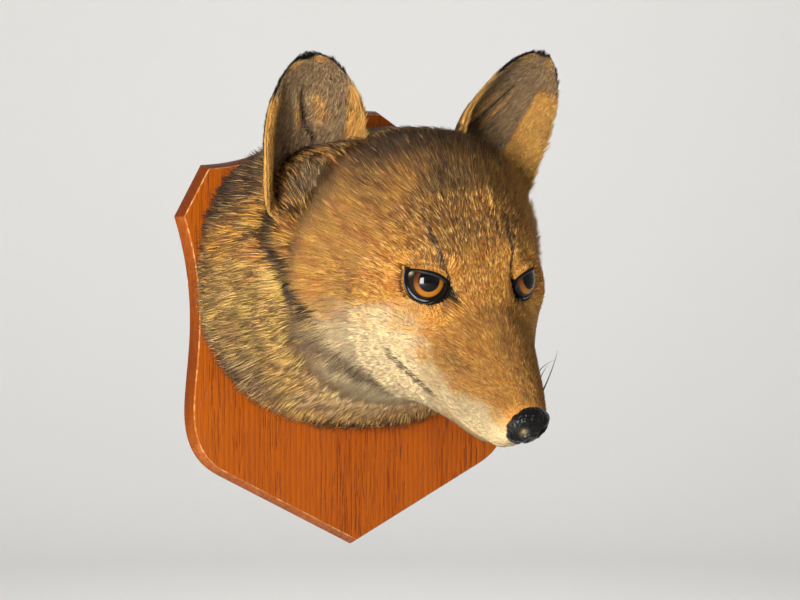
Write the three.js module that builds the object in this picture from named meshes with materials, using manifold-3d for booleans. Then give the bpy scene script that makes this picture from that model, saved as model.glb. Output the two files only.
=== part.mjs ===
// A red fox's head and neck mounted on an oak shield that hangs on a wall. Millimetres, +Z up, X to the viewer's
// right. The shield's back is the plane y = 0 with the origin at its middle, and the head comes out towards -Y.
import * as THREE from "three";
import { mergeVertices } from "three/addons/utils/BufferGeometryUtils.js";
import Module from "manifold-3d";

const wasm = await Module();
wasm.setup();

// ---- Driving dimensions ----------------------------------------------------------------------------------------

const GAP = 0.3; // between any two pieces that meet

const SHIELD = {
  thick: 7,
  bevel: 2.1, // how far the edge leans in from back to front
  arris: 0.6,
  backEdge: 0.4, // the small bevel round the back face
  sharpest: 0.5, // keeps the inset of a sharp corner from running away
  crestHalf: 13,
  crestTop: 99,
  scoop: [27.5, 90], // where the scooped top meets the crest's slope
  shoulder: [74, 72],
  corner: [86.6, 49],
  bulge: [81.8, -38],
  turn: [66, -65.4], // where the bulge runs into the straight lower edge
  point: -99,
  // handles of the curves between those points
  turnEase: [76, -60.2],
  bulgeEase: [81.4, -52],
  waistLow: [82.2, -18],
  waistHigh: [73, 8],
  scoopEase: [44, 74],
  steps: 9, // along each curve
};

// Two countersunk screws hold the head's block on from behind, one over the other.
const SCREW = {
  head: 4.2,
  shank: 2,
  sunk: 0.5,
  land: 0.6, // the straight side of the head above its cone
  into: 16,
  tip: 4,
  slot: [1, 0.8],
  sides: 16,
  heights: { upper: 50, lower: -16 },
};

// The head's own frame starts midway between the eyes: right, forward out of the face, and above.
const HEAD = { out: 115.2, up: 20.6, aside: -1, pitch: 31.2, yaw: 5.7, roll: 4.1 };

// Sections of the coat's outline from the shield to the nose. top and bottom are [out from the wall, height],
// half is half the width, widest is the share of the height where it is reached, and crown and keel say how
// square the upper and lower halves are.
const SECTIONS = [
  { name: "board", top: [7.3, 86], bottom: [7.3, -45], half: 79, widest: 0.48, crown: 2.6, keel: 2.2 },
  { name: "ruff", top: [26, 87.5], bottom: [18, -45], half: 80, widest: 0.48, crown: 2.6, keel: 2.2 },
  { name: "neck", top: [48, 88], bottom: [31, -41.5], half: 73, widest: 0.5, crown: 2.6, keel: 2.2 },
  { name: "nape", top: [70, 88.5], bottom: [45, -37], half: 66, widest: 0.5, crown: 2.4, keel: 2.2 },
  { name: "ears", top: [87, 84.5], bottom: [58, -33], half: 64, widest: 0.5, crown: 2.2, keel: 2.1 },
  { name: "temples", top: [101.8, 71.6], bottom: [70, -31], half: 52.5, widest: 0.48, crown: 2.1, keel: 2 },
  { name: "cheeks", top: [112.8, 54.5], bottom: [81, -31.5], half: 44, widest: 0.48, crown: 2.1, keel: 1.9 },
  { name: "eyes", top: [121.6, 31.7], bottom: [91, -33.5], half: 36.5, widest: 0.49, crown: 2.1, keel: 1.8 },
  { name: "stop", top: [127.4, 14.2], bottom: [102, -37], half: 29.3, widest: 0.47, crown: 2.1, keel: 1.8 },
  { name: "muzzle", top: [136, -2.8], bottom: [113, -41.5], half: 22.5, widest: 0.47, crown: 2.2, keel: 1.8 },
  { name: "lips", top: [145.7, -17.8], bottom: [123.5, -46], half: 16.5, widest: 0.5, crown: 2.3, keel: 2 },
  { name: "tip", top: [151.8, -29], bottom: [131, -46.8], half: 12, widest: 0.55, crown: 2.3, keel: 2.2 },
];
const TIP = { length: 6, drop: 0.45, blunt: 0.6 }; // the rounded end past the last section

// Swellings and hollows of the face, in the head's frame. Each is raised by lift within the reach [right, forward,
// above], and the other side mirrors it.
const FORMS = [
  { name: "brow", at: [20, -3, 10], reach: [10, 9, 7], lift: 2.2 },
  { name: "tear_hollow", at: [13, 14, -6], reach: [6, 8, 7], lift: -1.6 },
  { name: "cheekbone", at: [39, -9, -11], reach: [10, 12, 10], lift: 3.4 },
  { name: "under_eye", at: [24, 14, -16], reach: [8, 12, 8], lift: -1.5 },
  { name: "upper_lip", at: [13, 40, -36], reach: [7, 16, 8], lift: 1.5 },
  { name: "jaw_muscle", at: [50, -42, -30], reach: [14, 16, 18], lift: 3 },
  { name: "forehead_groove", at: [0, -22, 28], reach: [6, 22, 10], lift: -1.2 },
  { name: "crease", at: [62, -48, -18], reach: [10, 5, 16], lift: -4 },
];

// The eye's front, its ball, the way it looks, and the almond between the lids.
const EYE = {
  at: [24.6, 3.2, -0.1],
  wider: [2.4, 1.4, -1.2], // how much further out, forward and up the right eye is set
  radius: 10.5,
  aside: 31.6,
  asideRight: 27,
  above: 12,
  wide: 19,
  high: 13.5,
  pinch: 0.35, // how sharp the almond's corners are
  tilt: 20,
  lid: 0.8,
  rim: 1.2,
  rimOut: 0.72, // how far the rim's middle lies outside the opening
  hold: 8, // the coat lies on the ball this far from its axis, and has left it by fade
  fade: 15,
  points: 24, // round the opening
  rimSides: 6,
  detail: 3, // of the ball
};

const NOSE = {
  at: [0.8, 64.2, -33.8],
  lean: 25, // of its axis below the head's forward axis
  wide: 18.2,
  high: 20.6,
  deep: 12,
  spread: 0.12, // how much wider it is over the nostrils than at the lip
  nostril: [5.6, 4.6, -1],
  bore: 2.3,
  pit: 1.6,
  groove: 0.9,
  grooveWide: 1.1,
  grooveFade: 4,
  around: 24,
  along: 13,
  poles: [0.04, 0.985], // shares of the half turn where its rings start and end
};

// Ear landmarks in the head's frame, with the cup's depth and the shell's thickness.
const EAR = {
  inner: [24.2, -67.1, 33.7],
  outer: [65.2, -62.3, -1.4],
  tip: [58.9, -71.1, 68.7],
  cup: 24,
  curl: 3,
  thick: 3.6,
  sink: 14,
  blunt: 2,
  outerShare: 0.9, // how much narrower the outer half is above the base
  narrow: 0.35, // share of the height by which it has narrowed
  square: 0.6, // share of the height by which its rows lie square to its axis
  shallow: 0.85, // how the cup runs out towards the tip
  thinEdge: 0.55, // share of the thickness lost at the edges
  top: 0.995,
  columns: 9,
  rows: 11,
};

// The closed mouth's line from its corner to the front, with the dip of the curve between, each as (forward, above)
// in the head's frame. The jaw's block slopes away behind the corner.
const MOUTH = {
  corner: [2, -28.5],
  dip: [20, -37],
  front: [56, -45],
  back: 9, // how far the block's rear edge slopes back
  past: 20, // how far it goes past the nose
  under: 60, // how far below and to each side
};

// Shares of the way from the shield to the nose: where the neck is parted from the head, over what stretch it twists
// to follow the head, and where the first and last rings lie.
const NECK_CUT = 0.26;
const TWIST = [0.02, 0.42];
const ENDS = [0.002, 0.998];

const AROUND = 39; // points round a section
const ALONG = 38; // sections from the shield to the nose
const END_RINGS = 5; // of the rounded tip
const BEYOND = 240; // a cutting block's size, larger than anything it cuts

// ---- Small helpers ---------------------------------------------------------------------------------------------

const radians = THREE.MathUtils.degToRad;
const mix = THREE.MathUtils.lerp;
const smooth = THREE.MathUtils.smoothstep;

const material = (colour, roughness, metalness = 0) =>
  new THREE.MeshStandardMaterial({ color: colour, roughness, metalness });

// A closed geometry as a manifold-3d solid. The head's frame is left-handed, so a body made in it comes out
// inside out and is turned back here.
function solidOf(geometry) {
  const plain = geometry.clone();
  plain.deleteAttribute("normal");
  plain.deleteAttribute("uv");
  const merged = mergeVertices(plain, 1e-4);
  const vertProperties = merged.attributes.position.array;
  const triVerts = new Uint32Array(merged.index.array);
  const made = new wasm.Manifold(new wasm.Mesh({ numProp: 3, vertProperties, triVerts }));
  return made.volume() > 0
    ? made
    : new wasm.Manifold(new wasm.Mesh({ numProp: 3, vertProperties, triVerts: triVerts.reverse() }));
}

// A manifold-3d solid as a named mesh.
function meshOf(name, solid, look) {
  const made = solid.getMesh();
  const geometry = new THREE.BufferGeometry();
  geometry.setAttribute("position", new THREE.BufferAttribute(made.vertProperties, made.numProp));
  geometry.setIndex(new THREE.BufferAttribute(made.triVerts, 1));
  geometry.computeVertexNormals();
  const mesh = new THREE.Mesh(geometry, look);
  mesh.name = name;
  return mesh;
}

// A closed body from rings of points, each ring running the same way round, with flat or pointed ends.
function skinned(rings) {
  const around = rings[0].length;
  const points = rings.flat();
  const faces = [];
  for (let i = 0; i + 1 < rings.length; i++) {
    for (let j = 0; j < around; j++) {
      const a = i * around + j;
      const b = i * around + ((j + 1) % around);
      faces.push(a, b, b + around, a, b + around, a + around);
    }
  }
  for (const [ring, start, turned] of [
    [rings[0], 0, true],
    [rings.at(-1), points.length - around, false],
  ]) {
    const middle = ring.reduce((sum, p) => sum.add(p), new THREE.Vector3()).divideScalar(around);
    const centre = points.push(middle) - 1;
    for (let j = 0; j < around; j++) {
      const edge = [start + j, start + ((j + 1) % around)];
      faces.push(...(turned ? edge.reverse() : edge), centre);
    }
  }
  const geometry = new THREE.BufferGeometry().setFromPoints(points);
  geometry.setIndex(faces);
  return geometry;
}

// The same without ends, its last ring joined to its first.
function looped(rings) {
  const around = rings[0].length;
  const faces = [];
  for (let i = 0; i < rings.length; i++) {
    for (let j = 0; j < around; j++) {
      const next = (j + 1) % around;
      const onward = ((i + 1) % rings.length) * around;
      faces.push(i * around + j, i * around + next, onward + next, i * around + j, onward + next, onward + j);
    }
  }
  return new THREE.BufferGeometry().setFromPoints(rings.flat()).setIndex(faces);
}

// ---- The head's frame and pose ---------------------------------------------------------------------------------

const turnDown = radians(HEAD.pitch);

// A point of the head's frame before the head is turned aside: x, y and height in the shield's frame.
function upright([right, forward, above]) {
  const out = HEAD.out + forward * Math.cos(turnDown) + above * Math.sin(turnDown);
  const up = HEAD.up - forward * Math.sin(turnDown) + above * Math.cos(turnDown);
  return new THREE.Vector3(right, -out, up);
}

// The same point back in the head's frame.
function inHead(point) {
  const out = -point.y - HEAD.out;
  const up = point.z - HEAD.up;
  return [
    point.x,
    out * Math.cos(turnDown) - up * Math.sin(turnDown),
    out * Math.sin(turnDown) + up * Math.cos(turnDown),
  ];
}

// The whole head turns aside and tips a little, and the neck twists to follow it. share is 0 at the shield and 1 at
// the face.
const middle = new THREE.Vector3(0, -HEAD.out, HEAD.up);
const forwardAxis = new THREE.Vector3(0, -Math.cos(turnDown), -Math.sin(turnDown));
const turning = new THREE.Quaternion()
  .setFromAxisAngle(new THREE.Vector3(0, 0, 1), radians(HEAD.yaw))
  .multiply(new THREE.Quaternion().setFromAxisAngle(forwardAxis, radians(HEAD.roll)));

function posed(point, share = 1) {
  const turned = point.clone().sub(middle).applyQuaternion(turning).add(middle);
  turned.x += HEAD.aside;
  return point.clone().lerp(turned, share);
}

const atHead = (place) => posed(upright(place));

// ---- Neck, head and jaw as one body ----------------------------------------------------------------------------

// A smooth curve through values given one per section.
function through(values, at) {
  const last = values.length - 1;
  const i = Math.min(Math.floor(at), last - 1);
  const t = at - i;
  const [a, b, c, d] = [values[Math.max(i - 1, 0)], values[i], values[i + 1], values[Math.min(i + 2, last)]];
  return b + 0.5 * t * (c - a + t * (2 * a - 5 * b + 4 * c - d + t * (3 * (b - c) + d - a)));
}

const columns = Object.fromEntries(
  ["half", "widest", "crown", "keel"].map((key) => [key, SECTIONS.map((s) => s[key])]),
);
for (const end of ["top", "bottom"]) {
  columns[end + "Out"] = SECTIONS.map((s) => s[end][0]);
  columns[end + "Up"] = SECTIONS.map((s) => s[end][1]);
}

// The plain loft before its swellings: along runs from 0 at the shield to 1 at the nose, and angle goes round from
// the top.
function loft(along, angle) {
  const last = SECTIONS.length - 1;
  const at = Math.min(along, 1) * last;
  const value = (key) => through(columns[key], at);
  const top = new THREE.Vector2(value("topOut"), value("topUp"));
  const bottom = new THREE.Vector2(value("bottomOut"), value("bottomUp"));
  const c = Math.cos(angle);
  const s = Math.sin(angle);
  const widest = value("widest");
  const power = 2 / (c > 0 ? value("crown") : value("keel"));
  const height = widest + Math.sign(c) * Math.abs(c) ** power * (c > 0 ? 1 - widest : widest);
  const side = Math.sign(s) * Math.abs(s) ** power * value("half");
  const place = bottom.clone().lerp(top, height);
  return new THREE.Vector3(side, -place.x, place.y);
}

// How far the coat's surface is raised at a point of the loft.
function raised(point) {
  const [right, forward, above] = inHead(point);
  let sum = 0;
  for (const form of FORMS) {
    for (const side of form.at[0] === 0 ? [1] : [1, -1]) {
      const u = (right - side * form.at[0]) / form.reach[0];
      const v = (forward - form.at[1]) / form.reach[1];
      const w = (above - form.at[2]) / form.reach[2];
      sum += form.lift * Math.exp(-(u * u + v * v + w * w));
    }
  }
  return sum;
}

// The direction an eye looks in, in the head's frame, on the side given as 1 or -1.
function gaze(side) {
  const aside = radians(side > 0 ? EYE.asideRight : EYE.aside);
  const above = radians(EYE.above);
  return new THREE.Vector3(
    side * Math.sin(aside) * Math.cos(above),
    Math.cos(aside) * Math.cos(above),
    Math.sin(above),
  );
}

function eyeCentre(side) {
  const shift = side > 0 ? EYE.wider : [0, 0, 0];
  const [right, forward, above] = EYE.at.map((value, i) => value + shift[i]);
  return new THREE.Vector3(side * right, forward, above).addScaledVector(gaze(side), -EYE.radius);
}

// The coat near an eye is drawn onto the ball, so that the lids wrap it.
function lidded(point) {
  const side = Math.sign(point.x) || 1;
  const local = new THREE.Vector3(...inHead(point)).sub(eyeCentre(side));
  const far = local.length();
  const turn = local.angleTo(gaze(side));
  const share = turn < Math.PI / 2 ? 1 - smooth(far * Math.sin(turn), EYE.hold, EYE.fade) : 0;
  const onBall = local.multiplyScalar((EYE.radius + EYE.lid) / far).add(eyeCentre(side));
  return point.clone().lerp(upright(onBall.toArray()), share);
}

const twistShare = (along) => smooth(along, ...TWIST);

// A point of the coat's outer surface, grown outwards by extra.
function coat(along, angle, extra = 0) {
  const step = 1e-3;
  const here = loft(along, angle);
  const ahead = loft(along + step, angle).sub(loft(along - step, angle));
  const round = loft(along, angle + step).sub(loft(along, angle - step));
  const out = ahead.cross(round).normalize();
  const shaped = lidded(here.addScaledVector(out, raised(here)));
  return posed(shaped.addScaledVector(out, extra), twistShare(along));
}

function bodyRings(extra = 0) {
  const rings = [];
  for (let i = 0; i <= ALONG; i++) {
    const along = mix(...ENDS, i / ALONG);
    rings.push(Array.from({ length: AROUND }, (_, j) => coat(along, (-2 * Math.PI * j) / AROUND, extra)));
  }
  const last = rings.at(-1);
  const centre = last.reduce((sum, p) => sum.add(p), new THREE.Vector3()).divideScalar(AROUND);
  const onward = atHead([0, 1, -TIP.drop]).sub(atHead([0, 0, 0])).normalize();
  for (let k = 1; k <= END_RINGS; k++) {
    const turn = (k / (END_RINGS + TIP.blunt)) * (Math.PI / 2);
    rings.push(
      last.map((p) =>
        p.clone().lerp(centre, 1 - Math.cos(turn)).addScaledVector(onward, Math.sin(turn) * TIP.length),
      ),
    );
  }
  return rings;
}

// A prism across the head on an outline given as [forward, above] in the head's frame.
function acrossHead(shape, half) {
  const geometry = new THREE.ExtrudeGeometry(shape, { depth: 2 * half, bevelEnabled: false, curveSegments: 10 });
  const place = geometry.attributes.position;
  for (let i = 0; i < place.count; i++) {
    const [forward, above, across] = [place.getX(i), place.getY(i), place.getZ(i)];
    place.setXYZ(i, ...atHead([half - across, forward, above]).toArray());
  }
  return solidOf(geometry);
}

// The lower jaw: all of the body under the closed mouth and ahead of its corner, less grow on every side.
function jawBlock(grow) {
  const [cornerForward, cornerAbove] = MOUTH.corner;
  const [frontForward, frontAbove] = MOUTH.front;
  const shape = new THREE.Shape();
  shape.moveTo(frontForward + MOUTH.past, frontAbove + grow);
  shape.lineTo(frontForward, frontAbove + grow);
  shape.quadraticCurveTo(MOUTH.dip[0], MOUTH.dip[1] + grow, cornerForward - grow, cornerAbove + grow);
  shape.lineTo(cornerForward - MOUTH.back - grow, cornerAbove - MOUTH.under);
  shape.lineTo(frontForward + MOUTH.past, cornerAbove - MOUTH.under);
  return acrossHead(shape, MOUTH.under);
}

// A thin slab that parts the neck from the head just behind the ears.
function neckCut() {
  const at = NECK_CUT * (SECTIONS.length - 1);
  const value = (key) => through(columns[key], at);
  const lean = Math.atan2(value("topOut") - value("bottomOut"), value("topUp") - value("bottomUp"));
  const slab = new THREE.BoxGeometry(BEYOND, GAP, BEYOND);
  slab.rotateX(lean);
  slab.translate(0, -(value("topOut") + value("bottomOut")) / 2, (value("topUp") + value("bottomUp")) / 2);
  return solidOf(slab);
}

// ---- Eyes ------------------------------------------------------------------------------------------------------

function eyeBall(side, grow = 0) {
  const ball = new THREE.IcosahedronGeometry(EYE.radius + grow, EYE.detail);
  ball.translate(...atHead(eyeCentre(side).toArray()).toArray());
  return solidOf(ball);
}

// The almond between the lids: a point at turn round it, far ahead of the middle of the ball and grown by extra.
function almond(side, turn, far, extra = 0) {
  const look = gaze(side);
  const across = new THREE.Vector3(0, 0, 1).cross(look).normalize().applyAxisAngle(look, -side * radians(EYE.tilt));
  const up = look.clone().cross(across);
  const wide = (EYE.wide / 2 + extra) * Math.cos(turn);
  const high = (EYE.high / 2 + extra) * Math.sin(turn) * Math.abs(Math.sin(turn)) ** EYE.pinch;
  return eyeCentre(side).addScaledVector(look, far).addScaledVector(across, wide).addScaledVector(up, high);
}

const turns = (count) => Array.from({ length: count }, (_, i) => (2 * Math.PI * i) / count);

// The block between the lids, from the middle of the ball outwards.
function lidOpening(side) {
  const rings = [0, EYE.radius * 2.4].map((far) =>
    turns(EYE.points).map((turn) => atHead(almond(side, turn, far).toArray())),
  );
  return solidOf(skinned(rings));
}

// The swollen rim of the lids, which follows the ball round the opening.
function lidRim(side) {
  const centre = eyeCentre(side);
  const rim = EYE.radius + EYE.lid;
  const onBall = turns(EYE.points).map((turn) => {
    const edge = almond(side, turn, 0, EYE.rimOut).sub(centre);
    return edge.addScaledVector(gaze(side), Math.sqrt(rim * rim - edge.lengthSq())).add(centre);
  });
  const rings = onBall.map((place, i) => {
    const onward = onBall[(i + 1) % onBall.length].clone().sub(onBall.at(i - 1)).normalize();
    const outward = place.clone().sub(centre).normalize();
    const sideways = onward.clone().cross(outward);
    return turns(EYE.rimSides).map((turn) => {
      const round = outward.clone().multiplyScalar(Math.cos(turn)).addScaledVector(sideways, Math.sin(turn));
      return atHead(place.clone().addScaledVector(round, EYE.rim).toArray());
    });
  });
  return solidOf(looped(rings));
}

// ---- Nose ------------------------------------------------------------------------------------------------------

function nosePad(grow = 0) {
  const lean = radians(NOSE.lean);
  const { around, along, grooveFade } = NOSE;
  const rings = [];
  for (let i = 0; i <= along; i++) {
    const polar = mix(...NOSE.poles, i / along) * Math.PI;
    rings.push(
      Array.from({ length: around }, (_, j) => {
        const turn = (2 * Math.PI * j) / around;
        const x = Math.sin(polar) * Math.cos(turn);
        const z = Math.sin(polar) * Math.sin(turn);
        const y = Math.cos(polar);
        const broad = 1 + NOSE.spread * z;
        const p = [(x * broad * NOSE.wide) / 2, (y * NOSE.deep) / 2, (z * NOSE.high) / 2];
        let push = grow;
        if (!grow) {
          for (const side of [1, -1]) {
            const [nx, ny, nz] = NOSE.nostril;
            const away = Math.hypot(p[0] - side * nx, p[1] - ny, p[2] - nz) / NOSE.bore;
            push -= NOSE.pit * Math.exp(-away * away);
          }
          const below = smooth(-p[2], -grooveFade / 2, grooveFade) * smooth(p[1], 0, grooveFade);
          push -= NOSE.groove * Math.exp(-((p[0] / NOSE.grooveWide) ** 2)) * below;
        }
        const long = Math.hypot(...p);
        const [px, py, pz] = p.map((value) => value * (1 + push / long));
        const [cx, cy, cz] = NOSE.at;
        return atHead([
          cx + px,
          cy - NOSE.deep / 2 + py * Math.cos(lean) + pz * Math.sin(lean),
          cz - py * Math.sin(lean) + pz * Math.cos(lean),
        ]);
      }),
    );
  }
  return solidOf(skinned(rings));
}

// ---- Ears ------------------------------------------------------------------------------------------------------

// A cupped shell from below the scalp to its rounded tip, in the head's frame; u runs from the inner edge (-1) to the
// outer edge (1) and v from the base (0) to the tip (1).
function earRings(side) {
  const inner = new THREE.Vector3(...EAR.inner);
  const outer = new THREE.Vector3(...EAR.outer);
  const base = inner.clone().lerp(outer, 0.5);
  const axis = new THREE.Vector3(...EAR.tip).sub(base);
  const tall = axis.length();
  const upward = axis.clone().normalize();
  const baseSide = outer.clone().sub(inner).normalize();
  const square = baseSide.clone().addScaledVector(upward, -baseSide.dot(upward)).normalize();
  const facing = square.clone().cross(upward).negate();
  const rings = [];
  for (let i = 0; i <= EAR.rows; i++) {
    const v = mix(-EAR.sink / tall, EAR.top, (i / EAR.rows) ** EAR.shallow);
    const share = Math.max(v, 0);
    const across = baseSide.clone().lerp(square, smooth(share, 0, EAR.square)).normalize();
    const half = (inner.distanceTo(outer) / 2) * Math.sqrt(1 - share ** EAR.blunt);
    const outerHalf = half * mix(1, EAR.outerShare, smooth(share, 0, EAR.narrow));
    const cup = EAR.cup * (1 - share) ** EAR.shallow;
    const point = (u, behind) => {
      const hollow = cup * (1 - u * u) + EAR.curl * share * u * u;
      const place = base
        .clone()
        .addScaledVector(upward, v * tall)
        .addScaledVector(across, u * (u > 0 ? outerHalf : half));
      const wall = behind * EAR.thick * (1 - EAR.thinEdge * u ** 4);
      return place.addScaledVector(facing, EAR.curl * share - hollow - wall);
    };
    const ring = [];
    for (let j = 0; j < EAR.columns; j++) {
      ring.push(point(mix(-1, 1, j / EAR.columns), 0));
    }
    for (let j = 0; j < EAR.columns; j++) {
      ring.push(point(mix(1, -1, j / EAR.columns), 1));
    }
    rings.push(ring.map((p) => atHead([side * p.x, p.y, p.z])));
  }
  return rings;
}

// ---- Shield ----------------------------------------------------------------------------------------------------

// The shield's outline, from its point up the right side and back down the left.
function shieldOutline() {
  const right = new THREE.Shape();
  right.moveTo(0, SHIELD.point);
  right.lineTo(...SHIELD.turn);
  right.bezierCurveTo(...SHIELD.turnEase, ...SHIELD.bulgeEase, ...SHIELD.bulge);
  right.bezierCurveTo(...SHIELD.waistLow, ...SHIELD.waistHigh, ...SHIELD.corner);
  right.lineTo(...SHIELD.shoulder);
  right.quadraticCurveTo(...SHIELD.scoopEase, ...SHIELD.scoop);
  right.lineTo(SHIELD.crestHalf, SHIELD.crestTop);
  const half = right.getPoints(SHIELD.steps);
  const left = half.slice(1).reverse().map((p) => new THREE.Vector2(-p.x, p.y));
  return [...half, ...left];
}

// The outline moved inwards by inset, each corner along the line that halves it.
function insetOutline(outline, inset) {
  return outline.map((p, i) => {
    const before = outline.at(i - 1);
    const after = outline[(i + 1) % outline.length];
    const a = p.clone().sub(before).normalize();
    const b = after.clone().sub(p).normalize();
    const inward = new THREE.Vector2(-(a.y + b.y), a.x + b.x).normalize();
    const share = Math.max(inward.dot(new THREE.Vector2(-a.y, a.x)), SHIELD.sharpest);
    return p.clone().addScaledVector(inward, inset / share);
  });
}

function shieldBody() {
  const outline = shieldOutline();
  const { thick, bevel, arris, backEdge } = SHIELD;
  const levels = [
    [0, backEdge],
    [backEdge, 0],
    [thick - arris, bevel - arris / 3],
    [thick, bevel + arris / 1.5],
  ];
  const rings = levels.map(([out, inset]) =>
    insetOutline(outline, inset).map((p) => new THREE.Vector3(p.x, -out, p.y)),
  );
  return solidOf(skinned(rings));
}

// A countersunk wood screw that comes through the shield from behind, or the hole for it where grow is above 0.
function screwBody(height, grow = 0) {
  const { head, shank, sunk, land, into, tip } = SCREW;
  const flare = sunk + land + head - shank;
  const back = grow > 0 ? -sunk : sunk; // the hole comes out past the back face
  const profile = [
    [0, back],
    [head + grow, back],
    [head + grow, sunk + land],
    [shank + grow, flare],
    [shank + grow, SHIELD.thick + into - tip],
    [0, SHIELD.thick + into + grow],
  ];
  const turned = new THREE.LatheGeometry(profile.map(([r, far]) => new THREE.Vector2(r, far)), SCREW.sides);
  turned.rotateX(Math.PI);
  turned.translate(0, 0, height);
  const body = solidOf(turned);
  if (grow > 0) return body;
  const [width, depth] = SCREW.slot;
  const slot = new THREE.BoxGeometry(3 * head, 2 * depth, width);
  slot.translate(0, -sunk, height);
  return body.subtract(solidOf(slot));
}

// ---- The whole mount -------------------------------------------------------------------------------------------

const LOOKS = {
  oak: material("#a85a1c", 0.35),
  coat: material("#b0803f", 0.9),
  ruff: material("#b79a68", 0.95),
  cheek: material("#cdb07a", 0.9),
  ear: material("#7b6242", 0.9),
  glass: material("#4a2408", 0.08),
  nose: material("#121010", 0.3),
  steel: material("#8d8b86", 0.4, 1),
};

const whole = solidOf(skinned(bodyRings()));
const grown = solidOf(skinned(bodyRings(GAP)));
const [neckPiece, headPiece] = whole
  .subtract(neckCut())
  .decompose()
  .sort((a, b) => b.boundingBox().max[1] - a.boundingBox().max[1]);

let shield = shieldBody();
let neck = neckPiece;
for (const height of Object.values(SCREW.heights)) {
  const hole = screwBody(height, GAP);
  shield = shield.subtract(hole);
  neck = neck.subtract(hole);
}

let head = headPiece.subtract(jawBlock(GAP)).subtract(nosePad(GAP));
for (const side of [1, -1]) {
  head = head.add(lidRim(side)).subtract(eyeBall(side, GAP)).subtract(lidOpening(side));
}
const jaw = headPiece.intersect(jawBlock(0)).subtract(nosePad(GAP));

const group = new THREE.Group();
group.add(meshOf("shield", shield, LOOKS.oak));
group.add(meshOf("neck", neck, LOOKS.ruff));
group.add(meshOf("head", head, LOOKS.coat));
group.add(meshOf("lower_jaw", jaw, LOOKS.cheek));
group.add(meshOf("nose", nosePad(), LOOKS.nose));
for (const [name, side] of Object.entries({ right: 1, left: -1 })) {
  group.add(meshOf("eye_" + name, eyeBall(side), LOOKS.glass));
  group.add(meshOf("ear_" + name, solidOf(skinned(earRings(side))).subtract(grown), LOOKS.ear));
}
for (const [name, height] of Object.entries(SCREW.heights)) {
  group.add(meshOf("screw_" + name, screwBody(height), LOOKS.steel));
}
export default group;
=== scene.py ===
import math

import bpy
import numpy as np
from bpy.props import FloatProperty, FloatVectorProperty, IntProperty, PointerProperty
from bpy.types import Operator, Panel, PropertyGroup
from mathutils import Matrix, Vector
from mathutils.kdtree import KDTree


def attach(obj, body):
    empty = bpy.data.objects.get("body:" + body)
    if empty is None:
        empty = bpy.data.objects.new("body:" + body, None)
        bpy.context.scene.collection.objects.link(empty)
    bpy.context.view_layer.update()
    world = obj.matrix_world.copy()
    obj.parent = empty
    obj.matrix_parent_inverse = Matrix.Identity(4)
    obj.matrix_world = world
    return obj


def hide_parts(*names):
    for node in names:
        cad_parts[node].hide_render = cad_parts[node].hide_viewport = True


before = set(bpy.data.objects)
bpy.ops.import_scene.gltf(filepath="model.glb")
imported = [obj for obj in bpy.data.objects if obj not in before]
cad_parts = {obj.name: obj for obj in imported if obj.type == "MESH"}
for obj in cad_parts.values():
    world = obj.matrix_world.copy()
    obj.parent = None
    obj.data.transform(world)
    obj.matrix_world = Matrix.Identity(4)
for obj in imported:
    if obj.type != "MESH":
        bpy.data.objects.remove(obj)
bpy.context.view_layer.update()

bl_info = {
    "name": "Fox Head Mount",
    "version": (1, 0, 0),
    "blender": (4, 5, 0),
    "location": "View3D > Sidebar > Fox Mount",
    "description": "Builds the skin, coat, eyes, nose and oak shield of a mounted red fox's head",
    "category": "Object",
}

# ---- Sizes, in millimetres ----
# The head's own frame starts midway between the eyes: right, forward out of the face, and above.
# Below, point names places in the head's own frame, and place names those in the shield's.

MM = 0.001
HEAD = {"out": 115.2, "up": 20.6, "aside": -1.0, "pitch": 31.2, "yaw": 5.7, "roll": 4.1}

# Sections of the coat's outline from the shield to the nose: top and bottom as (out from the wall, height),
# half the width, the share of the height where it is widest, and how square the upper and lower halves are.
SECTIONS = {
    "board": ((7.3, 86), (7.3, -45), 79, 0.48, 2.6, 2.2),
    "ruff": ((26, 87.5), (18, -45), 80, 0.48, 2.6, 2.2),
    "neck": ((48, 88), (31, -41.5), 73, 0.5, 2.6, 2.2),
    "nape": ((70, 88.5), (45, -37), 66, 0.5, 2.4, 2.2),
    "ears": ((87, 84.5), (58, -33), 64, 0.5, 2.2, 2.1),
    "temples": ((101.8, 71.6), (70, -31), 52.5, 0.48, 2.1, 2),
    "cheeks": ((112.8, 54.5), (81, -31.5), 44, 0.48, 2.1, 1.9),
    "eyes": ((121.6, 31.7), (91, -33.5), 36.5, 0.49, 2.1, 1.8),
    "stop": ((127.4, 14.2), (102, -37), 29.3, 0.47, 2.1, 1.8),
    "muzzle": ((136, -2.8), (113, -41.5), 22.5, 0.47, 2.2, 1.8),
    "lips": ((145.7, -17.8), (123.5, -46), 16.5, 0.5, 2.3, 2),
    "tip": ((151.8, -29), (131, -46.8), 12, 0.55, 2.3, 2.2),
}
TIP = {"length": 6, "drop": 0.45, "blunt": 0.6, "rings": 9, "step": 0.008}
TWIST = (0.02, 0.42)  # where along the neck its twist starts and ends
ENDS = (0.002, 0.998)  # of the skin, along it
SPLAY = 130  # how far the hair spreads over the board, for a whole unit past the shield's end of the skin
SPLAY_ROOM = 0.4  # the share of that spread which a hair may use
APRON = (0.07, 0.055, 0.04, 0.025, 0.01)  # how far before the skin's end the rows of that spread lie
OFF_BOARD = {"bed": 0.35, "hair": 0.15}  # how far roots and hair keep off the board

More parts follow.
